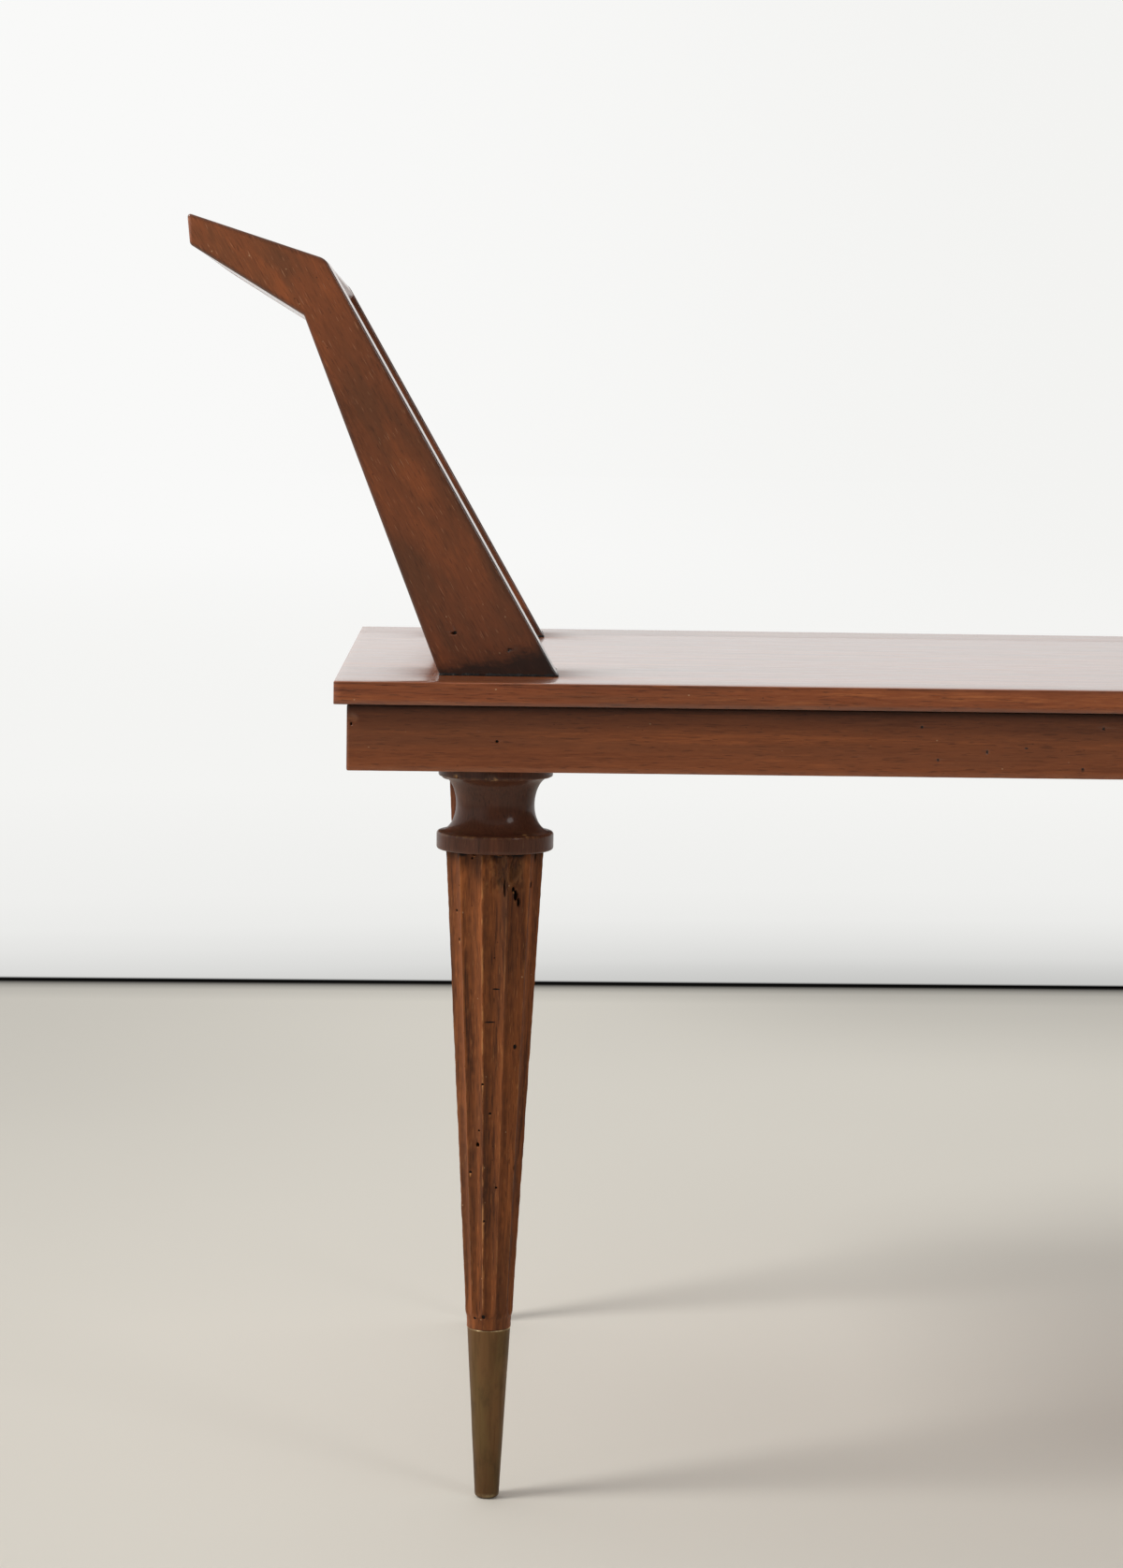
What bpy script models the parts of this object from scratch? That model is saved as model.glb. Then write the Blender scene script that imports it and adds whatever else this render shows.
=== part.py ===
"""Long bench with a raised open rest at each end, on four fluted turned legs shod in brass.

Metres, +Z up. The origin is on the floor below the middle of the seat, +X runs along the
seat and the front faces -Y. The two ends are alike, and so are the front and the rear.
"""

import collections
import math

import bmesh
import bpy

# Gap left between pieces that touch
CLEARANCE = 0.0003

# Seat board
SEAT_LENGTH = 1.500
SEAT_DEPTH = 0.500
SEAT_THICKNESS = 0.012
SEAT_HEIGHT = 0.450
SEAT_EDGE = 0.0008

# Apron frame below the seat, mitred at its corners
APRON_INSET = 0.0065
APRON_HEIGHT = 0.035
APRON_THICKNESS = 0.020

# Leg axis, from the seat's end and from its front or rear edge
LEG_END_INSET = 0.085
LEG_EDGE_INSET = 0.060

# Block in each corner of the frame, past the leg's flange by its margin
BLOCK_MARGIN = 0.012

# Battens across the frame, under the seat
BATTEN_COUNT = 3
BATTEN_WIDTH = 0.045
BATTEN_HEIGHT = 0.022

# Turned head of a leg: flange, cove and ring
FLANGE_RADIUS = 0.0307
FLANGE_THICKNESS = 0.0065
COVE_UPPER = 0.0155
NECK_RADIUS = 0.02105
COVE_LOWER = 0.0142
RING_RADIUS = 0.0314
RING_THICKNESS = 0.0098
RING_EDGE = 0.0015

# Fluted shaft, with radii to the arrises between its flutes
FLUTES = 12
SHAFT_TOP_RADIUS = 0.0271
SHAFT_LOW_RADIUS = 0.0127
FLUTE_DEPTH = 0.0030
FLUTE_RUNOUT = 0.004
BAND_RADIUS = 0.0119
BAND_HEIGHT = 0.006
TENON_RADIUS = 0.011
TENON_DEPTH = 0.028

# Brass cup on the foot of the shaft
SABOT_HEIGHT = 0.095
SABOT_RIM_RADIUS = 0.0117
SABOT_FOOT_RADIUS = 0.0065
SABOT_FOOT_EDGE = 0.0020
SABOT_WALL = 0.0012
SABOT_FLOOR = 0.005

# Pin through the cup into the shaft
PIN_HEIGHT = 0.080
PIN_RADIUS = 0.0009
PIN_LENGTH = 0.0070
PIN_HEAD_RADIUS = 0.0017
PIN_HEAD_RISE = 0.0006

# Arm: distances along the seat run from its end, inward, and rises from its top
ARM_EDGE_INSET = 0.050
ARM_THICKNESS = 0.046
ARM_FOOT_INSET = 0.0543
ARM_FOOT_LENGTH = 0.0632
ARM_EDGE = 0.0010
KNEE_OVERHANG = 0.0078
KNEE_RISE = 0.2184
KNEE_RADIUS = 0.008
TIP_OVERHANG = 0.0803
TIP_RISE = 0.2412
TIP_RADIUS = 0.0015
TIP_FACE_DROP = 0.0164
TIP_FACE_RAKE = 0.0015
TIP_LOW_RADIUS = 0.0025
ELBOW_OVERHANG = 0.0189
ELBOW_RISE = 0.1888

# Armrest board between the arms: its end face starts this far below the knee
ARMREST_LIP = 0.007

# Dowels between an arm and the board, in from the tip and from the elbow
DOWEL_RADIUS = 0.004
DOWEL_LENGTH = 0.040
DOWEL_INSET = 0.016

# Screws up through block and seat into the arm
ARM_SCREW_INSET = 0.010
ARM_SCREW_SPACING = 0.026
ARM_SCREW_EDGE = 0.014
ARM_SCREW_BITE = 0.026
ARM_SCREW_SINK = 0.003
ARM_SCREW_RADIUS = 0.0025
ARM_SCREW_HEAD_RADIUS = 0.0048

# Screws up through a batten into the seat
BATTEN_SCREW_OFFSET = 0.120
BATTEN_SCREW_BITE = 0.007
BATTEN_SCREW_SINK = 0.001
BATTEN_SCREW_RADIUS = 0.0020
BATTEN_SCREW_HEAD_RADIUS = 0.0039

# Facets
TURNED_SEGMENTS = 24
HARDWARE_SEGMENTS = 12
FLUTE_STEPS = 4
COVE_STEPS = 4
FILLET_STEPS = 3
WELD = 1e-6
SMOOTH_ANGLE = math.radians(35)

SIDES = (("left", -1), ("right", 1))
ROWS = (("front", -1), ("rear", 1))

Screw = collections.namedtuple("Screw", "length radius head_radius sink")

# Heights that follow from the sizes above
SEAT_UNDERSIDE = SEAT_HEIGHT - SEAT_THICKNESS
FRAME_TOP = SEAT_UNDERSIDE - CLEARANCE
FRAME_BOTTOM = SEAT_UNDERSIDE - APRON_HEIGHT
CAPITAL_TOP = FRAME_BOTTOM - CLEARANCE
CAPITAL_HEIGHT = FLANGE_THICKNESS + COVE_UPPER + COVE_LOWER + RING_THICKNESS
CAPITAL_BOTTOM = CAPITAL_TOP - CAPITAL_HEIGHT


def clear_scene():
    for obj in list(bpy.data.objects):
        bpy.data.objects.remove(obj, do_unlink=True)


def linear(channel):
    """One channel of a screen colour, 0 to 255, as linear light."""
    value = channel / 255
    return value / 12.92 if value <= 0.04045 else ((value + 0.055) / 1.055) ** 2.4


def make_material(name, colour, roughness, metallic=0.0):
    material = bpy.data.materials.new(name)
    material.use_nodes = True
    shader = material.node_tree.nodes["Principled BSDF"]
    shader.inputs["Base Color"].default_value = (*map(linear, colour), 1)
    shader.inputs["Roughness"].default_value = roughness
    shader.inputs["Metallic"].default_value = metallic
    material.diffuse_color = (*map(linear, colour), 1)
    return material


def make_materials():
    return {
        "seat": make_material("seat_walnut", (126, 84, 66), 0.32),
        "apron": make_material("apron_walnut", (112, 62, 38), 0.38),
        "block": make_material("block_wood", (150, 112, 78), 0.70),
        "batten": make_material("batten_wood", (158, 120, 84), 0.70),
        "capital": make_material("capital_walnut", (62, 38, 28), 0.28),
        "shaft": make_material("shaft_walnut", (110, 68, 42), 0.42),
        "arm": make_material("arm_walnut", (112, 74, 56), 0.34),
        "armrest": make_material("armrest_walnut", (116, 76, 58), 0.34),
        "dowel": make_material("dowel_beech", (196, 160, 118), 0.75),
        "sabot": make_material("sabot_brass", (112, 88, 60), 0.36, 1.0),
        "pin": make_material("pin_brass", (128, 104, 70), 0.40, 1.0),
        "screw": make_material("screw_steel", (120, 118, 114), 0.45, 1.0),
    }


def mesh_from(bm, name, smooth=False):
    """Closes off a bmesh as mesh data, with its faces pointing out."""
    bmesh.ops.recalc_face_normals(bm, faces=bm.faces)
    mesh = bpy.data.meshes.new(name)
    bm.to_mesh(mesh)
    bm.free()
    if smooth:
        mesh.shade_smooth()
        mesh.set_sharp_from_angle(angle=SMOOTH_ANGLE)
    return mesh


def place(name, mesh, material=None, location=(0, 0, 0), rotation=(0, 0, 0)):
    obj = bpy.data.objects.new(name, mesh)
    bpy.context.scene.collection.objects.link(obj)
    obj.parent = bpy.data.objects["bench"]
    obj.location = location
    obj.rotation_euler = rotation
    if material:
        obj.data.materials.clear()
        obj.data.materials.append(material)
    return obj


def place_cutter(name, mesh, location, rotation=(0, 0, 0)):
    cutter = place(name, mesh, location=location, rotation=rotation)
    cutter.hide_render = True
    cutter.display_type = "WIRE"
    return cutter


def cut(target, cutter):
    modifier = target.modifiers.new(cutter.name, "BOOLEAN")
    modifier.operation = "DIFFERENCE"
    modifier.object = cutter


def prism(outline, height):
    """An outline in XY, extruded upward from z = 0."""
    bm = bmesh.new()
    face = bm.faces.new([bm.verts.new((x, y, 0)) for x, y in outline])
    moved = bmesh.ops.extrude_face_region(bm, geom=[face])["geom"]
    lifted = [item for item in moved if isinstance(item, bmesh.types.BMVert)]
    bmesh.ops.translate(bm, verts=lifted, vec=(0, 0, height))
    return bm


def rectangle(length, width):
    x = length / 2
    y = width / 2
    return [(-x, -y), (x, -y), (x, y), (-x, y)]


def rod_profile(radius, low, high):
    return [(0, low), (radius, low), (radius, high), (0, high)]


def turned(profile, segments, closed=False):
    """A profile of (radius, height) points, turned about Z. An open one starts and ends on it."""
    bm = bmesh.new()
    verts = [bm.verts.new((radius, 0, height)) for radius, height in profile]
    following = verts[1:] + verts[:1] if closed else verts[1:]
    edges = [bm.edges.new(pair) for pair in zip(verts, following)]
    bmesh.ops.spin(
        bm, geom=verts + edges, cent=(0, 0, 0), axis=(0, 0, 1),
        angle=2 * math.pi, steps=segments, use_merge=True,
    )
    bmesh.ops.remove_doubles(bm, verts=bm.verts, dist=WELD)
    return bm


def rounded(corners):
    """The outline through corners of (x, y, radius), each rounded off by an arc."""
    outline = []
    count = len(corners)
    for index, (x, y, radius) in enumerate(corners):
        if not radius:
            outline.append((x, y))
            continue
        before = corners[index - 1]
        after = corners[(index + 1) % count]
        outline += fillet((x, y), before[:2], after[:2], radius)
    return outline


def fillet(corner, before, after, radius):
    """Points on the arc of this radius that touches both sides of a corner."""
    start = unit(corner, before)
    end = unit(corner, after)
    half = math.acos(start[0] * end[0] + start[1] * end[1]) / 2
    middle = unit((0, 0), (start[0] + end[0], start[1] + end[1]))
    centre = [corner[axis] + middle[axis] * radius / math.sin(half) for axis in (0, 1)]
    sweep = math.pi - 2 * half
    turn = math.copysign(1, start[0] * end[1] - start[1] * end[0])
    first = math.atan2(-middle[1], -middle[0]) + turn * sweep / 2
    angles = [first - turn * sweep * step / FILLET_STEPS for step in range(FILLET_STEPS + 1)]
    return [(centre[0] + radius * math.cos(a), centre[1] + radius * math.sin(a)) for a in angles]


def unit(start, end):
    length = math.dist(start, end)
    return (end[0] - start[0]) / length, (end[1] - start[1]) / length


def between(start, end, share):
    return tuple(a + (b - a) * share for a, b in zip(start, end))


def leg_position(side, row):
    return side * (SEAT_LENGTH / 2 - LEG_END_INSET), row * (SEAT_DEPTH / 2 - LEG_EDGE_INSET)


def make_seat(material):
    mesh = mesh_from(prism(rectangle(SEAT_LENGTH, SEAT_DEPTH), SEAT_THICKNESS), "seat_top")
    seat = place("seat_top", mesh, material, location=(0, 0, SEAT_UNDERSIDE))
    bevel = seat.modifiers.new("softened_edges", "BEVEL")
    bevel.width = SEAT_EDGE
    bevel.segments = 1
    return seat


def make_apron(name, length, distance, angle, material):
    """One side of the frame, its outer face at this distance from the middle."""
    outer = length / 2 - CLEARANCE / math.sqrt(2)
    inner = outer - APRON_THICKNESS
    outline = [(-outer, 0), (outer, 0), (inner, APRON_THICKNESS), (-inner, APRON_THICKNESS)]
    mesh = mesh_from(prism(outline, FRAME_TOP - FRAME_BOTTOM), name)
    location = (distance * math.sin(angle), -distance * math.cos(angle), FRAME_BOTTOM)
    place(name, mesh, material, location=location, rotation=(0, 0, angle))


def make_aprons(material):
    length = SEAT_LENGTH - 2 * APRON_INSET
    depth = SEAT_DEPTH - 2 * APRON_INSET
    make_apron("apron_front", length, depth / 2, 0, material)
    make_apron("apron_right", depth, length / 2, math.pi / 2, material)
    make_apron("apron_rear", length, depth / 2, math.pi, material)
    make_apron("apron_left", depth, length / 2, -math.pi / 2, material)


def make_block(name, side, row, material):
    """A block that fills the frame's corner, from the aprons to past the leg's flange."""
    outer = APRON_INSET + APRON_THICKNESS + CLEARANCE
    past_flange = FLANGE_RADIUS + BLOCK_MARGIN
    length = LEG_END_INSET + past_flange - outer
    width = LEG_EDGE_INSET + past_flange - outer
    mesh = mesh_from(prism(rectangle(length, width), FRAME_TOP - FRAME_BOTTOM), name)
    x = side * (SEAT_LENGTH / 2 - outer - length / 2)
    y = row * (SEAT_DEPTH / 2 - outer - width / 2)
    return place(name, mesh, material, location=(x, y, FRAME_BOTTOM))


def capital_profile():
    """Down the outside from the flange to the ring, then up the bore."""
    bore = TENON_RADIUS + CLEARANCE
    flange_bottom = CAPITAL_TOP - FLANGE_THICKNESS
    neck = flange_bottom - COVE_UPPER
    ring_top = neck - COVE_LOWER
    ring_bottom = ring_top - RING_THICKNESS
    ring_inner = RING_RADIUS - RING_EDGE
    profile = [(bore, CAPITAL_TOP), (FLANGE_RADIUS, CAPITAL_TOP)]
    profile += cove(FLANGE_RADIUS, neck, COVE_UPPER, range(COVE_STEPS, 0, -1))
    profile += cove(ring_inner, neck, -COVE_LOWER, range(COVE_STEPS + 1))
    profile += [(RING_RADIUS, ring_top - RING_EDGE), (RING_RADIUS, ring_bottom + RING_EDGE)]
    return profile + [(ring_inner, ring_bottom), (bore, ring_bottom)]


def cove(radius, neck, rise, steps):
    """Points on a quarter ellipse between the neck and a wider radius."""
    quarter = [step / COVE_STEPS * math.pi / 2 for step in steps]
    depth = radius - NECK_RADIUS
    return [(radius - depth * math.cos(a), neck + rise * math.sin(a)) for a in quarter]


def sabot_radius(height):
    return SABOT_FOOT_RADIUS + (SABOT_RIM_RADIUS - SABOT_FOOT_RADIUS) * height / SABOT_HEIGHT


def sabot_profile():
    """From the middle of the foot up the outside, over the rim and down the bore."""
    foot_edge = fillet(
        (SABOT_FOOT_RADIUS, 0), (0, 0), (SABOT_RIM_RADIUS, SABOT_HEIGHT), SABOT_FOOT_EDGE
    )
    return [(0, 0), *foot_edge] + [
        (SABOT_RIM_RADIUS, SABOT_HEIGHT),
        (SABOT_RIM_RADIUS - SABOT_WALL, SABOT_HEIGHT),
        (sabot_radius(SABOT_FLOOR) - SABOT_WALL, SABOT_FLOOR),
        (0, SABOT_FLOOR),
    ]


def shaft_ring(radius, height, depth=None):
    """One section of the shaft: a circle, or fluted to this depth below each flute's chord."""
    points = []
    step = 2 * math.pi / FLUTES
    for flute in range(FLUTES):
        start = step * (flute + 0.5)
        for part in range(FLUTE_STEPS):
            share = part / FLUTE_STEPS
            angle = start + step * share
            reach = radius
            if depth is not None:
                chord = radius * math.cos(step / 2) / math.cos(angle - start - step / 2)
                reach = chord - 4 * depth * share * (1 - share)
            points.append((reach * math.cos(angle), reach * math.sin(angle), height))
    return points


def shaft_rings():
    """Sections from the spigot's end in the cup up to the tenon's end in the block."""
    spigot_end = SABOT_FLOOR + CLEARANCE
    spigot_gap = SABOT_WALL + CLEARANCE
    shoulder = SABOT_HEIGHT + CLEARANCE
    band_top = shoulder + BAND_HEIGHT
    low_depth = FLUTE_DEPTH * SHAFT_LOW_RADIUS / SHAFT_TOP_RADIUS
    top = CAPITAL_BOTTOM - CLEARANCE
    return [
        shaft_ring(sabot_radius(spigot_end) - spigot_gap, spigot_end),
        shaft_ring(sabot_radius(shoulder) - spigot_gap, shoulder),
        shaft_ring(BAND_RADIUS, shoulder),
        shaft_ring(BAND_RADIUS, band_top),
        shaft_ring(SHAFT_LOW_RADIUS, band_top + FLUTE_RUNOUT, low_depth),
        shaft_ring(SHAFT_TOP_RADIUS, top, FLUTE_DEPTH),
        shaft_ring(TENON_RADIUS, top),
        shaft_ring(TENON_RADIUS, FRAME_BOTTOM + TENON_DEPTH),
    ]


def lofted(rings):
    """A skin through sections with the same number of points, closed at both ends."""
    bm = bmesh.new()
    loops = [[bm.verts.new(point) for point in ring] for ring in rings]
    for lower, upper in zip(loops, loops[1:]):
        for index in range(len(lower)):
            following = (index + 1) % len(lower)
            bm.faces.new((lower[index], lower[following], upper[following], upper[index]))
    bm.faces.new(loops[0])
    bm.faces.new(loops[-1])
    return bm


def pin_profile():
    """A pin with a low round head, pointing out along +Z, its head's seat at z = 0."""
    return [
        (0, -PIN_LENGTH),
        (PIN_RADIUS, -PIN_LENGTH),
        (PIN_RADIUS, 0),
        (PIN_HEAD_RADIUS, 0),
        (PIN_HEAD_RADIUS * math.sqrt(0.5), PIN_HEAD_RISE * math.sqrt(0.5)),
        (0, PIN_HEAD_RISE),
    ]


def make_pin(name, x, y, row, material):
    """The pin on the side of a cup that faces the bench's middle, and its hole's cutter."""
    seat = sabot_radius(PIN_HEIGHT) + CLEARANCE
    where = {"location": (x, y - row * seat, PIN_HEIGHT), "rotation": (row * math.pi / 2, 0, 0)}
    place(name, mesh_from(turned(pin_profile(), HARDWARE_SEGMENTS), name, True), material, **where)
    profile = rod_profile(PIN_RADIUS + CLEARANCE, -PIN_LENGTH - CLEARANCE, PIN_LENGTH)
    hole = mesh_from(turned(profile, HARDWARE_SEGMENTS), "hole_" + name)
    return place_cutter("hole_" + name, hole, **where)


def make_socket(corner, x, y):
    """The cutter for the hole in a block that takes the shaft's tenon."""
    depth = TENON_DEPTH + CLEARANCE
    profile = rod_profile(TENON_RADIUS + CLEARANCE, -depth, depth)
    mesh = mesh_from(turned(profile, TURNED_SEGMENTS), "socket")
    return place_cutter(f"socket_{corner}", mesh, (x, y, FRAME_BOTTOM))


def make_legs(materials, blocks):
    capital = turned(capital_profile(), TURNED_SEGMENTS, closed=True)
    capital_mesh = mesh_from(capital, "capital", True)
    sabot_mesh = mesh_from(turned(sabot_profile(), TURNED_SEGMENTS), "sabot", True)
    shaft_mesh = mesh_from(lofted(shaft_rings()), "shaft", True)
    for side_name, side in SIDES:
        for row_name, row in ROWS:
            corner = f"{row_name}_{side_name}"
            x, y = leg_position(side, row)
            place(f"leg_capital_{corner}", capital_mesh, materials["capital"], (x, y, 0))
            shaft = place(f"leg_shaft_{corner}", shaft_mesh, materials["shaft"], (x, y, 0))
            sabot = place(f"sabot_{corner}", sabot_mesh, materials["sabot"], (x, y, 0))
            pin_hole = make_pin(f"sabot_pin_{corner}", x, y, row, materials["pin"])
            cut(shaft, pin_hole)
            cut(sabot, pin_hole)
            cut(blocks[corner], make_socket(corner, x, y))


def arm_corners():
    """Named corners of the arm's outline: along the seat from its end, and up from its top."""
    tip = (-TIP_OVERHANG, TIP_RISE)
    return {
        "foot_outer": (ARM_FOOT_INSET, CLEARANCE),
        "foot_inner": (ARM_FOOT_INSET + ARM_FOOT_LENGTH, CLEARANCE),
        "knee": (-KNEE_OVERHANG, KNEE_RISE),
        "tip": tip,
        "tip_low": (tip[0] + TIP_FACE_RAKE, tip[1] - TIP_FACE_DROP),
        "elbow": (-ELBOW_OVERHANG, ELBOW_RISE),
    }


def arm_outline():
    at = arm_corners()
    return rounded([
        (*at["foot_outer"], 0),
        (*at["foot_inner"], 0),
        (*at["knee"], KNEE_RADIUS),
        (*at["tip"], TIP_RADIUS),
        (*at["tip_low"], TIP_LOW_RADIUS),
        (*at["elbow"], 0),
    ])


def armrest_outline():
    """The arm's outline above a face that runs from just below the knee to the elbow."""
    at = arm_corners()
    inner_edge = math.dist(at["knee"], at["foot_inner"])
    lip = between(at["knee"], at["foot_inner"], ARMREST_LIP / inner_edge)
    return rounded([
        (*lip, 0),
        (*at["knee"], KNEE_RADIUS),
        (*at["tip"], TIP_RADIUS),
        (*at["tip_low"], TIP_LOW_RADIUS),
        (*at["elbow"], 0),
    ])


def end_panel(outline, side, thickness):
    """An outline as a prism that stands up at the seat's end, centred on y = 0."""
    bm = prism([(-side * along, rise) for along, rise in outline], thickness)
    for vert in bm.verts:
        vert.co = (vert.co.x, vert.co.z - thickness / 2, vert.co.y)
    return bm


def ease_rim(bm, y):
    """Takes the arris off the edges that lie in one plane of constant y."""
    bmesh.ops.recalc_face_normals(bm, faces=bm.faces)
    rim = [edge for edge in bm.edges if all(abs(vert.co.y - y) < WELD for vert in edge.verts)]
    bmesh.ops.bevel(bm, geom=rim, offset=ARM_EDGE, segments=1, profile=0.5, affect="EDGES")


def make_arm(name, side, row, material):
    bm = end_panel(arm_outline(), side, ARM_THICKNESS)
    ease_rim(bm, row * ARM_THICKNESS / 2)
    y = row * (SEAT_DEPTH / 2 - ARM_EDGE_INSET - ARM_THICKNESS / 2)
    return place(name, mesh_from(bm, name), material, (side * SEAT_LENGTH / 2, y, SEAT_HEIGHT))


def dowel_points():
    """Where the dowels cross the rest: on its middle line, in from the tip and the elbow."""
    at = arm_corners()
    tip_middle = between(at["tip"], at["tip_low"], 0.5)
    knee_middle = between(at["knee"], at["elbow"], 0.5)
    share = DOWEL_INSET / math.dist(tip_middle, knee_middle)
    tip_point = between(tip_middle, knee_middle, share)
    knee_point = between(tip_middle, knee_middle, 1 - share)
    return (("tip", tip_point), ("knee", knee_point))


def make_dowels(corner, side, joint, material):
    """The dowels across one joint between an arm and the board, and their holes' cutters."""
    cutters = []
    for where, (along, rise) in dowel_points():
        name = f"armrest_dowel_{corner}_{where}"
        x = side * (SEAT_LENGTH / 2 - along)
        spot = {"location": (x, joint, SEAT_HEIGHT + rise), "rotation": (math.pi / 2, 0, 0)}
        reach = DOWEL_LENGTH / 2
        dowel = turned(rod_profile(DOWEL_RADIUS, -reach, reach), HARDWARE_SEGMENTS)
        place(name, mesh_from(dowel, name, True), material, **spot)
        reach += CLEARANCE
        profile = rod_profile(DOWEL_RADIUS + CLEARANCE, -reach, reach)
        hole = mesh_from(turned(profile, HARDWARE_SEGMENTS), "hole_" + name)
        cutters.append(place_cutter("hole_" + name, hole, **spot))
    return cutters


def screw_profile(screw):
    """A countersunk screw that points up from its head at z = 0."""
    return [
        (0, 0),
        (screw.head_radius, 0),
        (screw.radius, screw.head_radius - screw.radius),
        (screw.radius, screw.length - 2 * screw.radius),
        (0, screw.length),
    ]


def screw_hole_profile(screw):
    """The screw's hole, which runs on below its head past the face that it is sunk in."""
    wide = screw.head_radius + CLEARANCE
    narrow = screw.radius + CLEARANCE
    rim = CLEARANCE / 2
    return [
        (0, -2 * screw.sink),
        (wide, -2 * screw.sink),
        (wide, rim),
        (narrow, rim + screw.head_radius - screw.radius),
        (narrow, screw.length - 2 * screw.radius),
        (0, screw.length + 2 * CLEARANCE),
    ]


def make_screw(name, position, screw, material):
    """A screw with its head at this position, and its hole's cutter."""
    mesh = mesh_from(turned(screw_profile(screw), HARDWARE_SEGMENTS), name, True)
    place(name, mesh, material, position)
    hole = mesh_from(turned(screw_hole_profile(screw), HARDWARE_SEGMENTS), "hole_" + name)
    return place_cutter("hole_" + name, hole, position)


def make_arm_screws(corner, side, row, material):
    """Two screws from a block up into an arm's foot, and their holes' cutters."""
    cutters = []
    y = row * (SEAT_DEPTH / 2 - ARM_EDGE_INSET - ARM_THICKNESS + ARM_SCREW_EDGE)
    head = FRAME_BOTTOM + ARM_SCREW_SINK
    length = SEAT_HEIGHT + ARM_SCREW_BITE - head
    screw = Screw(length, ARM_SCREW_RADIUS, ARM_SCREW_HEAD_RADIUS, ARM_SCREW_SINK)
    for index, where in enumerate(("outer", "inner")):
        along = ARM_FOOT_INSET + ARM_SCREW_INSET + index * ARM_SCREW_SPACING
        x = side * (SEAT_LENGTH / 2 - along)
        cutters.append(make_screw(f"arm_screw_{corner}_{where}", (x, y, head), screw, material))
    return cutters


def make_ends(materials, seat, blocks):
    """The arms, the boards between them and what fastens them."""
    inner_face = SEAT_DEPTH / 2 - ARM_EDGE_INSET - ARM_THICKNESS
    board_depth = 2 * (inner_face - CLEARANCE)
    for side_name, side in SIDES:
        name = f"armrest_{side_name}"
        mesh = mesh_from(end_panel(armrest_outline(), side, board_depth), name)
        armrest = place(name, mesh, materials["armrest"], (side * SEAT_LENGTH / 2, 0, SEAT_HEIGHT))
        for row_name, row in ROWS:
            corner = f"{row_name}_{side_name}"
            arm = make_arm(f"arm_{corner}", side, row, materials["arm"])
            for cutter in make_dowels(corner, side, row * inner_face, materials["dowel"]):
                cut(arm, cutter)
                cut(armrest, cutter)
            for cutter in make_arm_screws(corner, side, row, materials["screw"]):
                cut(blocks[corner], cutter)
                cut(seat, cutter)
                cut(arm, cutter)


def make_battens(materials, seat):
    """Battens spaced evenly between the blocks, each screwed up into the seat."""
    depth = SEAT_DEPTH - 2 * (APRON_INSET + APRON_THICKNESS + CLEARANCE)
    block_end = LEG_END_INSET + FLANGE_RADIUS + BLOCK_MARGIN
    spacing = (SEAT_LENGTH - 2 * block_end) / (BATTEN_COUNT + 1)
    bottom = FRAME_TOP - BATTEN_HEIGHT
    head = bottom + BATTEN_SCREW_SINK
    length = SEAT_UNDERSIDE + BATTEN_SCREW_BITE - head
    screw = Screw(length, BATTEN_SCREW_RADIUS, BATTEN_SCREW_HEAD_RADIUS, BATTEN_SCREW_SINK)
    for index in range(BATTEN_COUNT):
        name = f"batten_{index + 1}"
        x = (index - (BATTEN_COUNT - 1) / 2) * spacing
        mesh = mesh_from(prism(rectangle(BATTEN_WIDTH, depth), BATTEN_HEIGHT), name)
        batten = place(name, mesh, materials["batten"], location=(x, 0, bottom))
        for row_name, row in ROWS:
            position = (x, row * BATTEN_SCREW_OFFSET, head)
            screw_name = f"batten_screw_{index + 1}_{row_name}"
            cutter = make_screw(screw_name, position, screw, materials["screw"])
            cut(batten, cutter)
            cut(seat, cutter)


def make_blocks(material):
    return {
        f"{row_name}_{side_name}": make_block(f"leg_block_{row_name}_{side_name}", side, row, material)
        for side_name, side in SIDES
        for row_name, row in ROWS
    }


def main():
    clear_scene()
    bench = bpy.data.objects.new("bench", None)
    bpy.context.scene.collection.objects.link(bench)
    materials = make_materials()
    seat = make_seat(materials["seat"])
    make_aprons(materials["apron"])
    blocks = make_blocks(materials["block"])
    make_battens(materials, seat)
    make_legs(materials, blocks)
    make_ends(materials, seat, blocks)


main()
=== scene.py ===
"""Looks of the long bench: its modelled pieces, its woods and brass, the light and the camera.

Metres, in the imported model's frame: the origin is on the floor below the middle of the seat,
+X runs along the seat, the front faces -Y, +Z is up. Marks on the wood are given in
millimetres and degrees, as they were read from the photograph.
"""

import math
import random
from collections import namedtuple

import bmesh
import bpy
import numpy as np
from mathutils import Matrix, Vector, noise


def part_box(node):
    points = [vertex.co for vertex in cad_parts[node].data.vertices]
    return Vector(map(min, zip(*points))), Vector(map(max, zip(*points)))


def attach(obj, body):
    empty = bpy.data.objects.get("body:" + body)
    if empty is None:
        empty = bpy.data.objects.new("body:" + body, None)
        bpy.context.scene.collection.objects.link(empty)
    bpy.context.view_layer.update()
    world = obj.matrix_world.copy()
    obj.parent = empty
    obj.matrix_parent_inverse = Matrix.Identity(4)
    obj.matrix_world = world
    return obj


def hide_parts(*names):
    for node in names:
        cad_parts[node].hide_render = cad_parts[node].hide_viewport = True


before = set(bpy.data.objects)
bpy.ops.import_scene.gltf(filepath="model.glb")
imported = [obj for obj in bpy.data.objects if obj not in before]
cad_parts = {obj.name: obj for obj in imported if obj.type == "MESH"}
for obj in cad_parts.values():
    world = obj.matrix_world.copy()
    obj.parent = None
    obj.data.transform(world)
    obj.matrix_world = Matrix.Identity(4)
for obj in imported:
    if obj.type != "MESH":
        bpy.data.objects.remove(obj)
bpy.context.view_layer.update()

MM = 0.001
SIDES = (("left", -1), ("right", 1))
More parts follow.
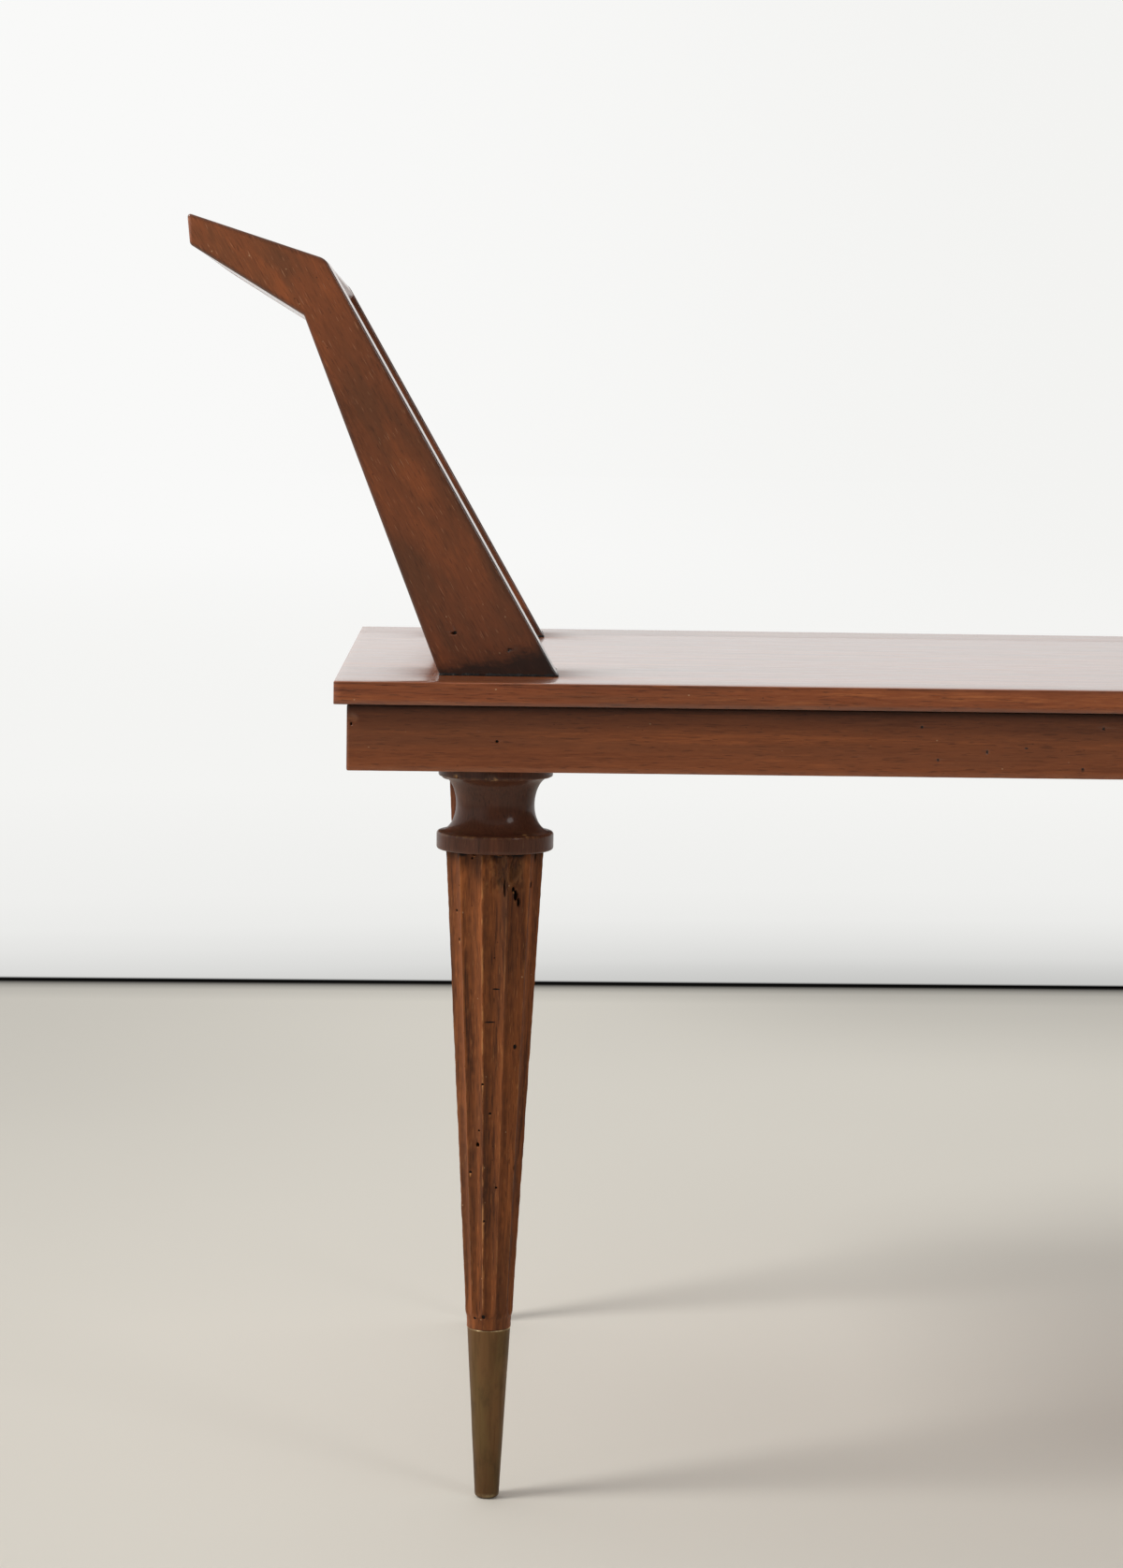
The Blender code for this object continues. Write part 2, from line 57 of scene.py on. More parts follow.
ROWS = (("front", -1), ("rear", 1))
SEED = 41

# Camera, fitted to the photograph of 1200 by 1676 pixels
PHOTO_HEIGHT = 1676
FOCAL_PIXELS = 3754.1
SENSOR = 36.0
CAMERA_PLACE = Vector((-0.6824, -2.0630, 0.5820))
CAMERA_YAW = 0.02812
CAMERA_PITCH = 0.10109
CAMERA_ROLL = 0.01465

# Stage: a pale floor with painted shade, and glowing white paper that starts at a painted dark gap behind
# the bench
FLOOR_REACH = 40.0
FLOOR_FRONT = -2.6
FLOOR_DROP = 0.0002
FLOOR_COLOUR = (222, 218, 208)
# Where painted shade darkens the floor, to the left and near: from, to, and the light at each
FLOOR_LEFT = (-1.18, -0.62, 0.83, 1.0)
FLOOR_NEAR = (-0.55, 0.25, 0.92, 1.0)
# Where it is in shadow, far and to the right
FLOOR_FAR = (1.05, 1.55)
FLOOR_RIGHT = (-0.60, -0.20, 0.0, 0.20)
PAPER_FOOT = 1.597
PAPER_SLANT = 0.0145
PAPER_REACH = 14.0
# The paper's glowing white on the left and on the right, the right one darker with painted shade
PAPER_WHITES = ((249, 249, 248), (243, 243, 241))
# By distance behind the paper's foot: where it starts, the levels it glows at, darker near the foot with
# painted shade, and the painted shade on the floor before it
PAPER_EDGE = (0.012, 0.028)
PAPER_LEVELS = (
    (0.0, 195), (0.11, 207), (0.21, 219), (0.35, 228), (0.51, 235), (0.77, 239), (2.0, 244),
)
PAPER_SHADE = (
    (-0.12, 1.0), (-0.055, 0.86), (-0.030, 0.62), (-0.014, 0.30), (-0.004, 0.02), (0.008, 0.0),
)
# How much further up its glow levels the paper is on the left, a painted pool of light
PAPER_LEFT = (-0.75, -0.10, 0.17, 0.0)

# Light: how bright the surround is in front, and along each axis from low to high
FRONT_LIGHT = 0.10
GLOWS = (
    ("X", -0.20, -0.75, 0.80),
    ("Z", 0.30, 0.75, 0.55),
    ("Y", 0.05, 0.45, 1.02),
)
RIGHT_FALLOFF = (-0.05, 0.40, 1.0, 0.87)
Lamp = namedtuple("Lamp", "name place target size power tint")
LAMPS = (
    Lamp("key", (-2.60, -0.76, 2.10), (-0.4, 0, 0.3), 1.0, 46, (1.0, 0.985, 0.96)),
    Lamp("window", (0.86, -1.74, 1.42), (-0.6, -0.2, 0.4), 0.70, 6.5, (1, 1, 1)),
)

# Seat board
SEAT_LOW, SEAT_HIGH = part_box("seat_top")
SEAT_END = SEAT_HIGH.x
SEAT_FRONT = SEAT_HIGH.y
SEAT_TOP = SEAT_HIGH.z
SEAT_ARRIS = 0.0006
SEAT_GRIME = 0.26
# The dark line below the top arris: how far down, how wide and how strong
ARRIS_LINE = (0.0009, 0.0005, 0.34)
# How far lost polish reaches round an arm's foot and from the front, and how strong it is
FOOT_DULLNESS = 0.022
FRONT_REACH = 0.020
FRONT_DULLNESS = 0.5
STRIP_DULLNESS = 0.3
JOINT_FROM_REAR = 0.063
JOINT_WIDTH = 0.0007
JOINT_DEPTH = 0.00012

# Apron boards
APRON_LOW, APRON_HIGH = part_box("apron_front")
APRON_THICKNESS = APRON_HIGH.y - APRON_LOW.y
APRON_ARRIS = 0.0010
APRON_GAP = 0.0004
# Painted shade below the seat's overhang, darkest at the top: strength and reach
APRON_SHADE_BAND = ((0.55, 0.0030), (0.50, 0.0135))
CHIP_PALENESS = 1.5
# The sides: quarter turns from the front, and the seed of the wood
APRON_SIDES = (("front", 0, 4), ("right", 1, 5), ("rear", 2, 6), ("left", -1, 7))

# Arm outline: distances along the seat run from its end, inward, and rises from its top
ARM_LOW, ARM_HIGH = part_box("arm_front_left")
ARM_THICKNESS = ARM_HIGH.y - ARM_LOW.y
ARM_FACE = -ARM_LOW.y
ARM_ARRIS = 0.0013
FOOT_OUTER = (0.0543, 0.0)
FOOT_INNER = (0.1175, 0.0)
KNEE = (-0.0078, 0.2184)
TIP = (-0.0803, 0.2412)
TIP_LOW = (-0.0788, 0.2248)
ELBOW = (-0.0189, 0.1888)
KNEE_RADIUS = 0.008
ELBOW_RADIUS = 0.0015
TIP_RADIUS = 0.0015
TIP_LOW_RADIUS = 0.0030
ARMREST_LIP = 0.007
LIP_DULLNESS = 0.75
ARM_GRAIN = 60.0
# How bright an arm's lower limb is, and how dark the stain at its foot
ARM_SHADES = (0.79, 0.88)
# The other arms are painted lighter all over, a painted reflection of the pale seat, and their stain is
# fainter
OTHER_ARM_SHADES = (1.15, 0.62)
# The heights over the seat between which an arm grows bright, leaning with the limb
BRIGHT_HEIGHTS = (0.10, 0.29)
BRIGHT_LEAN = 0.6
BRIGHT_LIMB = 1.15
# How far the stain's edge is from a slanted, ragged line
STAIN_EDGE = (-0.020, -0.006)
STAIN_LEAN = 0.20
STAIN_RAGS = -0.034
# The arms are a little wider at their inner faces, so the undersides show from outside
UNDERSIDE_DRAFT = 0.0013
INNER_DRAFT = 0.0004

# Line of old black glue under an arm's foot, its black partly a painted shade of the gap there
GLUE_HEIGHT = 0.0013
GLUE_PROUD = 0.0004
# Shares of its height, and how far it stands out at each
GLUE_LEVELS = ((0.0, 1.0), (0.35, 1.1), (0.7, 0.8), (1.0, 0.2))

# Turned heads of the legs
CAPITAL_LOW, CAPITAL_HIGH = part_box("leg_capital_front_left")
FLANGE_RADIUS = (CAPITAL_HIGH.x - CAPITAL_LOW.x) / 2 - 0.0007
RING_RADIUS = (CAPITAL_HIGH.x - CAPITAL_LOW.x) / 2
NECK_RADIUS = 0.02105
FLANGE_THICKNESS = 0.0065
COVE_UPPER = 0.0155
COVE_LOWER = 0.0142
RING_EDGE = 0.0016
BORE_RADIUS = 0.0113
CAPITAL_SIDES = 180

# Fluted shafts
SHAFT_LOW, SHAFT_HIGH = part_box("leg_shaft_front_left")
SHAFT_TOP = CAPITAL_LOW.z - 0.0003
FLUTES = 12
FLUTE_TURN = 360 / FLUTES
FLUTE_SHARES = (0, 0.03, 0.08, 0.16, 0.28, 0.42, 0.58, 0.72, 0.84, 0.92, 0.97)
SHAFT_TOP_RADIUS = 0.0271
SHAFT_LOW_RADIUS = 0.0127
FLUTE_DEPTH_SHARE = 0.09
TENON_RADIUS = 0.0110
BAND_RADIUS = 0.0119
BAND_HEIGHT = 0.006
RUNOUT = 0.010
ARRIS_REACH = 0.0006

# Brass cups
SABOT_LOW, SABOT_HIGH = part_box("sabot_front_left")
SABOT_HEIGHT = SABOT_HIGH.z
SABOT_RIM_RADIUS = (SABOT_HIGH.x - SABOT_LOW.x) / 2
SABOT_FOOT_RADIUS = 0.0065
SABOT_FOOT_EDGE = 0.0020
SABOT_WALL = 0.0012
SABOT_FLOOR = 0.005
SABOT_RIM_EDGE = 0.0003
SABOT_SIDES = 96
SHOULDER = SABOT_HEIGHT + 0.0003
SPIGOT_DRAFT = 0.0015

# A dent: centre, half widths and depth. On boards u runs along from the left end and v is
# the height, both in mm. On a leg u is the angle from the front, towards +X, in degrees.
Dent = namedtuple("Dent", "u v width height depth")

SEAT_SCUFF = Dent(127.0, 50.5, 9.0, 1.4, 0.0)
APRON_CHIPS = [Dent(*row) for row in (
    (9.8, 430.0, 3.6, 3.2, 0.25), (75.2, 423.9, 0.8, 0.7, 0.1), (273.6, 413.5, 0.8, 0.7, 0.1),
)]
APRON_DENTS = [Dent(*row) for row in (
    (9.1, 427.5, 0.7, 1.2, 1.2), (84.9, 419.1, 1.0, 0.9, 1.6), (306.4, 429.4, 1.0, 1.0, 0.5),
    (315.2, 412.4, 0.8, 0.8, 0.4), (340.9, 416.7, 0.8, 1.5, 0.4), (361.3, 418.9, 1.4, 0.6, 0.2),
    (401.6, 429.6, 0.9, 1.1, 0.6), (391.2, 408.4, 1.0, 0.7, 0.3),
)]
ARM_DENTS = [Dent(62.3, 22.8, 1.1, 1.1, 2.2), Dent(90.9, 14.4, 0.5, 1.8, 0.5)]
SHAFT_DENTS = [Dent(*row) for row in (
    (-27.4, 356.2, 1.6, 1.2, 1.5), (5.3, 356.6, 2.6, 1.0, 1.5), (-31.1, 353.8, 0.7, 0.8, 1.2),
    (65.0, 353.8, 0.6, 3.4, 1.6), (12.4, 338.5, 0.5, 6.0, 0.9), (26.0, 337.2, 1.2, 1.8, 1.6),
    (30.0, 334.0, 1.5, 3.4, 2.2), (34.5, 330.2, 1.0, 2.8, 2.0), (49.0, 335.0, 0.5, 4.5, 1.5),
    (51.0, 328.5, 0.5, 4.5, 1.5), (57.6, 338.9, 1.3, 2.2, 0.9), (-63.4, 324.3, 0.9, 0.9, 0.8),
    (-51.5, 338.4, 1.6, 0.6, 0.8), (-58.9, 308.8, 0.9, 1.1, 1.1), (-48.5, 258.7, 0.6, 0.7, 0.8),
    (0.7, 300.5, 0.4, 0.5, 0.6), (3.9, 283.6, 2.4, 0.5, 0.25), (-5.0, 265.6, 3.4, 0.5, 0.25),
    (38.0, 251.7, 0.9, 1.6, 0.5), (-50.7, 240.1, 0.6, 0.8, 0.6), (-15.2, 231.7, 0.7, 0.8, 1.2),
    (-3.1, 215.5, 0.8, 0.9, 0.6), (-23.4, 205.9, 0.7, 0.7, 0.8), (-27.0, 198.0, 1.2, 1.4, 1.8),
    (-41.8, 182.6, 0.7, 0.9, 0.7), (10.5, 174.8, 0.7, 0.8, 1.2), (45.7, 185.1, 0.5, 2.4, 0.8),
    (-13.3, 156.2, 0.6, 0.9, 0.6), (-39.0, 101.6, 1.2, 0.8, 0.4), (-14.0, 102.8, 1.2, 1.5, 0.6),
)]
HEAD_CHIPS = [Dent(*row) for row in (
    (-4.5, 397.0, 3.4, 1.3, 0.8), (-43.5, 397.4, 3.0, 1.0, 0.5), (33.0, 366.6, 3.0, 0.5, 0.15),
)]
# The other shafts have as many dents each, drawn from these ranges
OTHER_DENTS = 12
OTHER_DENT_RANGES = ((-180, 180), (110, 350), (0.5, 1.0), (0.6, 1.4), (0.4, 1.3))
# Dark streaks down the front left shaft: angle, half width in degrees, heights in mm, strength
Streak = namedtuple("Streak", "u width low high strength")
SHAFT_STREAKS = [
    Streak(-41.5, 3.4, 150.0, 350.0, 0.50),
    Streak(25.0, 5.0, 100.0, 245.0, 0.42),
]
# Rough patch at the head of the front left shaft, in degrees and mm
ROUGH_ANGLES = (-20.0, 45.0)
ROUGH_LOW = 331.0
ROUGH_DEPTH = 0.0011
ROUGH_WEAR = 0.3
# The dark stain round it: where it sets in upwards and from the left, and fades to the right
SHADOW_HEIGHTS = (0.335, 0.348)
SHADOW_LEFT = (-47, -42)
SHADOW_RIGHT = (40, 62)
# Further left than this it is darker
SHADOW_DARKER = (-22, -14)
# The arris that is pale, partly worn and partly painted highlight, in degrees, and how pale it and the
# others are
PALE_ARRIS = -15.0
ARRIS_WEAR_AND_HIGHLIGHT = (0.85, 0.25)


# Numbers and colours

def linear(channel):
    """One channel of a screen colour, 0 to 255, as linear light."""
    value = channel / 255
    return value / 12.92 if value <= 0.04045 else ((value + 0.055) / 1.055) ** 2.4


def colour(rgb, gain=1.0):
    """A screen colour as linear light."""
    return (*(linear(channel) * gain for channel in rgb), 1)


def smoothstep(low, high, value):
    share = np.clip((np.asarray(value, float) - low) / (high - low), 0, 1)
    return share * share * (3 - 2 * share)


def spaced(low, high, step, marks=()):
    """Even stations from low to high, with finer ones round each mark of (centre, reach)."""
    count = max(2, round((high - low) / step) + 1)
    values = list(np.linspace(low, high, count))
    for centre, reach in marks:
        for share in (0, 0.3, 0.55, 0.8, 1.05):
            values += [centre - share * reach, centre + share * reach]
    values = sorted(value for value in values if low <= value <= high)
    kept = [values[0]]
    for value in values[1:]:
        if value - kept[-1] > step * 0.04:
            kept.append(value)
    kept[-1] = high
    return np.array(kept)


def rough(points, size, seed):
    """Smooth noise of about -1 to 1 at each point, with features of this size."""
    shift = Vector((seed * 3.71, seed * 1.37, seed * 2.93))
    flat = np.reshape(points, (-1, 3))
    values = [noise.noise(Vector(point) / size + shift) for point in flat]
    return np.reshape(values, np.shape(points)[:-1])


def pit(across, along):
    """How deep a dent is at a place, as a share, from the place in half widths."""
    return 1 - smoothstep(0.45, 1.0, np.sqrt(across**2 + along**2))


def sunk_by(dent, along, up):
    """How deep a dent is at places on a board, as a share, from their u and v in metres."""
    return pit((along - dent.u * MM) / (dent.width * MM), (up - dent.v * MM) / (dent.height * MM))


def bend(centre, reach, rise, start, end, count):
    """Points round an arc of this centre, half width and half height, between two angles."""
    turns = np.radians(np.linspace(start, end, count))
    return list(zip(centre[0] + reach * np.cos(turns), centre[1] + rise * np.sin(turns)))


# Meshes

def skin(name, rings, joined):
    """A closed mesh through rings of equally many points, capped, or joined end to end."""
    rings = np.asarray(rings, float)
    count, size = rings.shape[:2]
    index = np.arange(count * size).reshape(count, size)
    lower, upper = (index, np.roll(index, -1, 0)) if joined else (index[:-1], index[1:])
    quads = np.stack([lower, np.roll(lower, -1, 1), np.roll(upper, -1, 1), upper], -1)
    faces = quads.reshape(-1, 4).tolist()
    if not joined:
        faces += [index[0][::-1].tolist(), index[-1].tolist()]
    mesh = bpy.data.meshes.new(name)
    mesh.from_pydata(rings.reshape(-1, 3).tolist(), [], faces)
    bm = bmesh.new()
    bm.from_mesh(mesh)
    bmesh.ops.recalc_face_normals(bm, faces=bm.faces)
    bm.to_mesh(mesh)
    bm.free()
    mesh.shade_smooth()
    mesh.set_sharp_from_angle(angle=math.radians(38))
    return mesh


def new_object(name, data):
    """An object of this name and data, put in the scene."""
    obj = bpy.data.objects.new(name, data)
    bpy.context.scene.collection.objects.link(obj)
    return obj


def piece(name, rings, material, slot, *nodes, joined=False, **numbers):
    """A finished piece of the bench, which stands for these nodes.

    Its mesh keeps one number per point under each further name, for the material to read.
    """
    mesh = skin(name, rings, joined)
    for kind, values in numbers.items():
        attribute = mesh.attributes.new(kind, "FLOAT", "POINT")
        attribute.data.foreach_set("value", np.asarray(values, np.float32).ravel())
    mesh.materials.append(material)
    obj = new_object(name, mesh)
    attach(obj, "root")
    if nodes:
        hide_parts(*nodes)


def corner_arc(corner, before, after, radius, steps):
    """Points on the arc of this radius that touches both sides of a corner, from before to after."""
    corner, before, after = (np.array(point, float) for point in (corner, before, after))
    start = (before - corner) / np.linalg.norm(before - corner)
    end = (after - corner) / np.linalg.norm(after - corner)
    half = math.acos(float(start @ end)) / 2
    middle = (start + end) / np.linalg.norm(start + end)
    centre = corner + middle * radius / math.sin(half)
    sweep = math.pi - 2 * half
    turn = math.copysign(1, start[0] * end[1] - start[1] * end[0])
    first = math.atan2(-middle[1], -middle[0]) + turn * sweep / 2
    angles = first - turn * sweep * np.linspace(0, 1, steps + 1)
    return np.stack([centre[0] + radius * np.cos(angles), centre[1] + radius * np.sin(angles)], 1)


Template = namedtuple("Template", "across up push_across push_up arris")


def template(across, up, steps=4):
    """A rounded rectangle as shares across and up, with how far each point is pushed out."""
    points = []
    for turn in range(4):
        shares = across if turn % 2 == 0 else up
        shares = shares if turn < 2 else shares[::-1]
        angle = math.pi / 2 * (turn - 1)
        push = (math.cos(angle), math.sin(angle))
        edge = (0, 1, 1, 0)[turn]
        for share in shares:
            spot = (share, edge) if turn % 2 == 0 else (edge, share)
            points.append((*spot, *push, 0.0))
        corner = ((1, 0), (1, 1), (0, 1), (0, 0))[turn]
        for step in range(steps + 1):
            around = angle + math.pi / 2 * step / steps
            near = 1 - abs(2 * step / steps - 1) * 0.5
            points.append((*corner, math.cos(around), math.sin(around), near))
    return Template(*np.array(points).T)


def between_arrises(shape, low, high, arris, ease=1.0):
    """The template's points between two corners of a rectangle, as arrays across and up."""
    across = low[0] + arris + shape.across * (high[0] - low[0] - 2 * arris)
    up = low[1] + arris + shape.up * (high[1] - low[1] - 2 * arris)
    return across + arris * ease * shape.push_across, up + arris * ease * shape.push_up


def eased_ends(low, high, stations, arris):
    """Stations along a board with its ends rounded: pairs of place and ease."""
    turns = [math.radians(angle) for angle in (10, 30, 50, 70)]
    start = [(low + arris * (1 - math.cos(turn)), math.sin(turn)) for turn in turns]
    end = [(high + low - place, ease) for place, ease in start[::-1]]
    inner = stations[(stations >= low + arris) & (stations <= high - arris)]
    return start + [(place, 1.0) for place in inner] + end


# Materials

class Graph:
    """The node tree of a new material, or of a world, built one call at a time."""

    def __init__(self, name, world=None):
        self.material = world or bpy.data.materials.new(name)
        self.material.use_nodes = True
        self.tree = self.material.node_tree
        self.shader = self.tree.nodes.get("Principled BSDF")

    def surface(self, shader):
        kind = "World Output" if self.shader is None else "Material Output"
        self.tree.links.new(shader, self.tree.nodes[kind].inputs["Surface"])

    def put(self, socket, value):
        if isinstance(value, bpy.types.NodeSocket):
            self.tree.links.new(value, socket)
        else:
            socket.default_value = value

    def add(self, kind, inputs, **settings):
        node = self.tree.nodes.new("ShaderNode" + kind)
        for name, value in settings.items():
            setattr(node, name, value)
        for name, value in inputs.items():
            self.put(node.inputs[name], value)
        return node

    def shade(self, **inputs):
        for name, value in inputs.items():
            self.put(self.shader.inputs[name.replace("_", " ")], value)

    def place(self, rotation=(0, 0, 0), shift=(0, 0, 0)):
        """Object coordinates, turned so that X runs along the grain."""
        coordinates = self.add("TexCoord", {}).outputs["Object"]
        inputs = {"Vector": coordinates, "Rotation": rotation, "Location": shift}
        return self.add("Mapping", inputs, vector_type="POINT").outputs["Vector"]

    def stretched(self, vector, scale):
        return self.add("Mapping", {"Vector": vector, "Scale": scale}).outputs["Vector"]

    def noise(self, vector, scale, detail=2.0, roughness=0.5, distortion=0.0):
        """Noise with its own size along each axis, given as features per metre."""
        inputs = {
            "Vector": self.stretched(vector, scale), "Scale": 1.0, "Detail": detail,
            "Roughness": roughness, "Distortion": distortion,
        }
        return self.add("TexNoise", inputs).outputs["Fac"]

    def math(self, operation, first, second=0.0):
        return self.add("Math", {0: first, 1: second}, operation=operation).outputs[0]

    def times(self, first, second):
        return self.math("MULTIPLY", first, second)

    def plus(self, first, second):
        return self.math("ADD", first, second)

    def ramp(self, value, low, high, start=0.0, end=1.0):
        inputs = {"Value": value, "From Min": low, "From Max": high, "To Min": start, "To Max": end}
        return self.add("MapRange", inputs, interpolation_type="SMOOTHSTEP").outputs[0]

    def levels(self, value, stops):
        """A colour for each value, running evenly from stop to stop."""
        low, high = stops[0][0], stops[-1][0]
        inputs = {"Value": value, "From Min": low, "From Max": high}
        share = self.add("MapRange", inputs).outputs[0]
        node = self.add("ValToRGB", {0: share})
        elements = node.color_ramp.elements
        while len(elements) < len(stops):
            elements.new(0.5)
        for element, (place, shade) in zip(elements, stops):
            element.position = (place - low) / (high - low)
            element.color = shade
        return node.outputs["Color"]

    def mix(self, factor, first, second, blend="MIX"):
        node = self.add("Mix", {}, data_type="RGBA", blend_type=blend)
        self.put(node.inputs[0], factor)
        self.put(node.inputs[6], first)
        self.put(node.inputs[7], second)
        return node.outputs[2]

    def attribute(self, name):
        return self.add("Attribute", {}, attribute_name=name).outputs["Fac"]

    def axis(self, vector, name):
        return self.add("SeparateXYZ", {"Vector": vector}).outputs[name]

    def bump(self, height, distance, strength):
        inputs = {"Height": height, "Distance": distance, "Strength": strength}
        return self.add("Bump", inputs).outputs["Normal"]


# A wood: its tones as colours of 0 to 255, the strength of its clouds, specks, pale flecks and
# worn arrises, partly painted highlights, the roughness, polish, haze and plain reflection of
# its finish, and how many fibres and bands it has per metre, along the grain and across
Wood = namedtuple(
    "Wood",
    "dark middle light cloud worn clouds specks flecks wear gloss coat haze shine fibre band",
)

SEAT_WOOD = Wood(
    dark=(112, 56, 30), middle=(146, 78, 42), light=(178, 102, 54), cloud=(96, 60, 38),
    worn=(200, 140, 98), clouds=0.45, specks=0.6, flecks=0.10, wear=0.10,
    gloss=0.32, coat=0.62, haze=0.09, shine=0.5,
    fibre=(50, 850), band=(6, 110),
)
APRON_WOOD = Wood(
    dark=(122, 65, 35), middle=(140, 77, 42), light=(164, 91, 48), cloud=(98, 60, 40),
    worn=(190, 126, 86), clouds=0.32, specks=0.4, flecks=0.08, wear=0.25,
    gloss=0.42, coat=0.26, haze=0.12, shine=0.35,
    fibre=(60, 1000), band=(4, 70),
)
ARM_WOOD = Wood(
    dark=(114, 66, 40), middle=(135, 76, 45), light=(156, 86, 48), cloud=(88, 62, 42),
    worn=(206, 150, 112), clouds=0.42, specks=0.5, flecks=0.40, wear=0.0,
    gloss=0.38, coat=0.70, haze=0.09, shine=0.35,
    fibre=(110, 1100), band=(16, 60),
)
CAPITAL_WOOD = Wood(
    dark=(76, 46, 33), middle=(91, 55, 40), light=(110, 66, 46), cloud=(70, 49, 39),
    worn=(196, 150, 100), clouds=0.30, specks=0.0, flecks=0.05, wear=0.9,
    gloss=0.42, coat=0.28, haze=0.13, shine=0.1,
    fibre=(60, 900), band=(10, 60),
)
SHAFT_WOOD = Wood(
    dark=(86, 48, 28), middle=(132, 75, 40), light=(170, 99, 53), cloud=(76, 50, 36),
    worn=(216, 150, 92), clouds=0.50, specks=0.5, flecks=0.20, wear=0.8,
    gloss=0.50, coat=0.04, haze=0.09, shine=0.12,
    fibre=(40, 900), band=(6, 130),
)
# The rear shafts are painted in darker tones: painted shade
REAR_SHAFT_WOOD = SHAFT_WOOD._replace(dark=(62, 32, 22), middle=(98, 51, 32), light=(134, 74, 44))
ROUGH_WOOD = Wood(
    dark=(140, 102, 68), middle=(168, 130, 92), light=(190, 154, 114), cloud=(150, 120, 90),
    worn=(190, 154, 114), clouds=0.30, specks=0.0, flecks=0.0, wear=0.2,
    gloss=0.75, coat=0.0, haze=0.3, shine=0.3,
    fibre=(40, 800), band=(5, 105),
)
# A near black for grime, also used for painted shade under overhangs, in flutes and in holes
GRIME_AND_SHADE = (18, 11, 8)
STAIN = (36, 26, 22)
PALE_SPECK = (206, 168, 128)
DARK_SPECK = (30, 18, 12)
# What shares of a wood's tone come from its bands, its fibres and its blotches
TONE_SHARES = (0.40, 0.36, 0.24)


def wood(name, kind, grain=(0, 0, 0), seed=0):
    """Polished wood whose fibres run along X once the coordinates are turned by grain."""
    graph = Graph(name)
    place = graph.place(grain, (seed * 0.731, seed * 0.417, seed * 0.293))
    fibres = graph.noise(place, (*kind.fibre, kind.fibre[1]), 4.0, 0.65)
    pores = graph.noise(place, (120, 1500, 1500), 1.0)
    pore_mask = graph.ramp(pores, 0.60, 0.72, 0.0, 0.45)
    base = wood_tones(graph, place, kind, fibres)
    base = graph.mix(pore_mask, base, colour([channel * 0.5 for channel in kind.dark]))
    base = graph.mix(graph.ramp(pores, 0.34, 0.26, 0.0, kind.flecks), base, colour(kind.worn))
    if kind.specks:
        base = with_specks(graph, place, base, kind)
    # Pale where worn, and painted highlights and glints where a piece's mesh gives them
    patches = graph.noise(place, (70, 260, 260), 3.0, 0.7)
    wear = graph.times(graph.attribute("wear"), graph.ramp(patches, 0.42, 0.62, 0.0, kind.wear))
    base = graph.mix(wear, base, colour(kind.worn))
    # Darkened by grime and by painted shade, as each piece's mesh gives
    base = graph.mix(graph.attribute("dirt"), base, colour(GRIME_AND_SHADE))
    relief = graph.math("SUBTRACT", graph.times(fibres, 0.5), pore_mask)
    dull = graph.attribute("dull")
    graph.shade(
        Base_Color=base, Coat_Roughness=kind.haze,
        Coat_Weight=graph.ramp(dull, 0, 1, kind.coat, kind.coat * 0.2),
        Specular_IOR_Level=graph.ramp(dull, 0, 1, kind.shine, kind.shine * 0.2),
        Roughness=graph.ramp(fibres, 0.3, 0.7, kind.gloss - 0.05, kind.gloss + 0.07),
        Normal=graph.bump(relief, 0.00005, 0.6),
    )
    return graph


def wood_tones(graph, place, kind, fibres):
    """Dark, middle and light tones in bands, fibres and blotches, under soft clouds."""
    bands = graph.noise(place, (*kind.band, kind.band[1]), 3.0, 0.6, 0.5)
    blotches = graph.noise(place, (0.9 * kind.band[0], 62, 62), 3.0, 0.55)
    shares = [graph.times(*pair) for pair in zip((bands, fibres, blotches), TONE_SHARES)]
    tone = graph.plus(graph.plus(*shares[:2]), shares[2])
    base = graph.mix(graph.ramp(tone, 0.38, 0.50), colour(kind.dark), colour(kind.middle))
    base = graph.mix(graph.ramp(tone, 0.50, 0.62), base, colour(kind.light))
    clouds = graph.noise(place, (0.75 * kind.band[0], 50, 50), 4.0, 0.6, 0.3)
    return graph.mix(graph.ramp(clouds, 0.46, 0.66, 0.0, kind.clouds), base, colour(kind.cloud))


def with_specks(graph, place, base, kind):
    """Scattered pale specks and small dark ones, where the finish is chipped or filled."""
    cells = graph.add("TexVoronoi", {"Vector": graph.stretched(place, (260, 380, 380)), "Scale": 1.0})
    near = graph.ramp(cells.outputs["Distance"], 0.10, 0.16, 1.0, 0.0)
    chance = graph.axis(cells.outputs["Color"], "X")
    for low, high, tint in ((0.965, 0.975, PALE_SPECK), (0.050, 0.040, DARK_SPECK)):
        mask = graph.times(near, graph.ramp(chance, low, high, 0.0, kind.specks))
        base = graph.mix(mask, base, colour(tint))
    return base


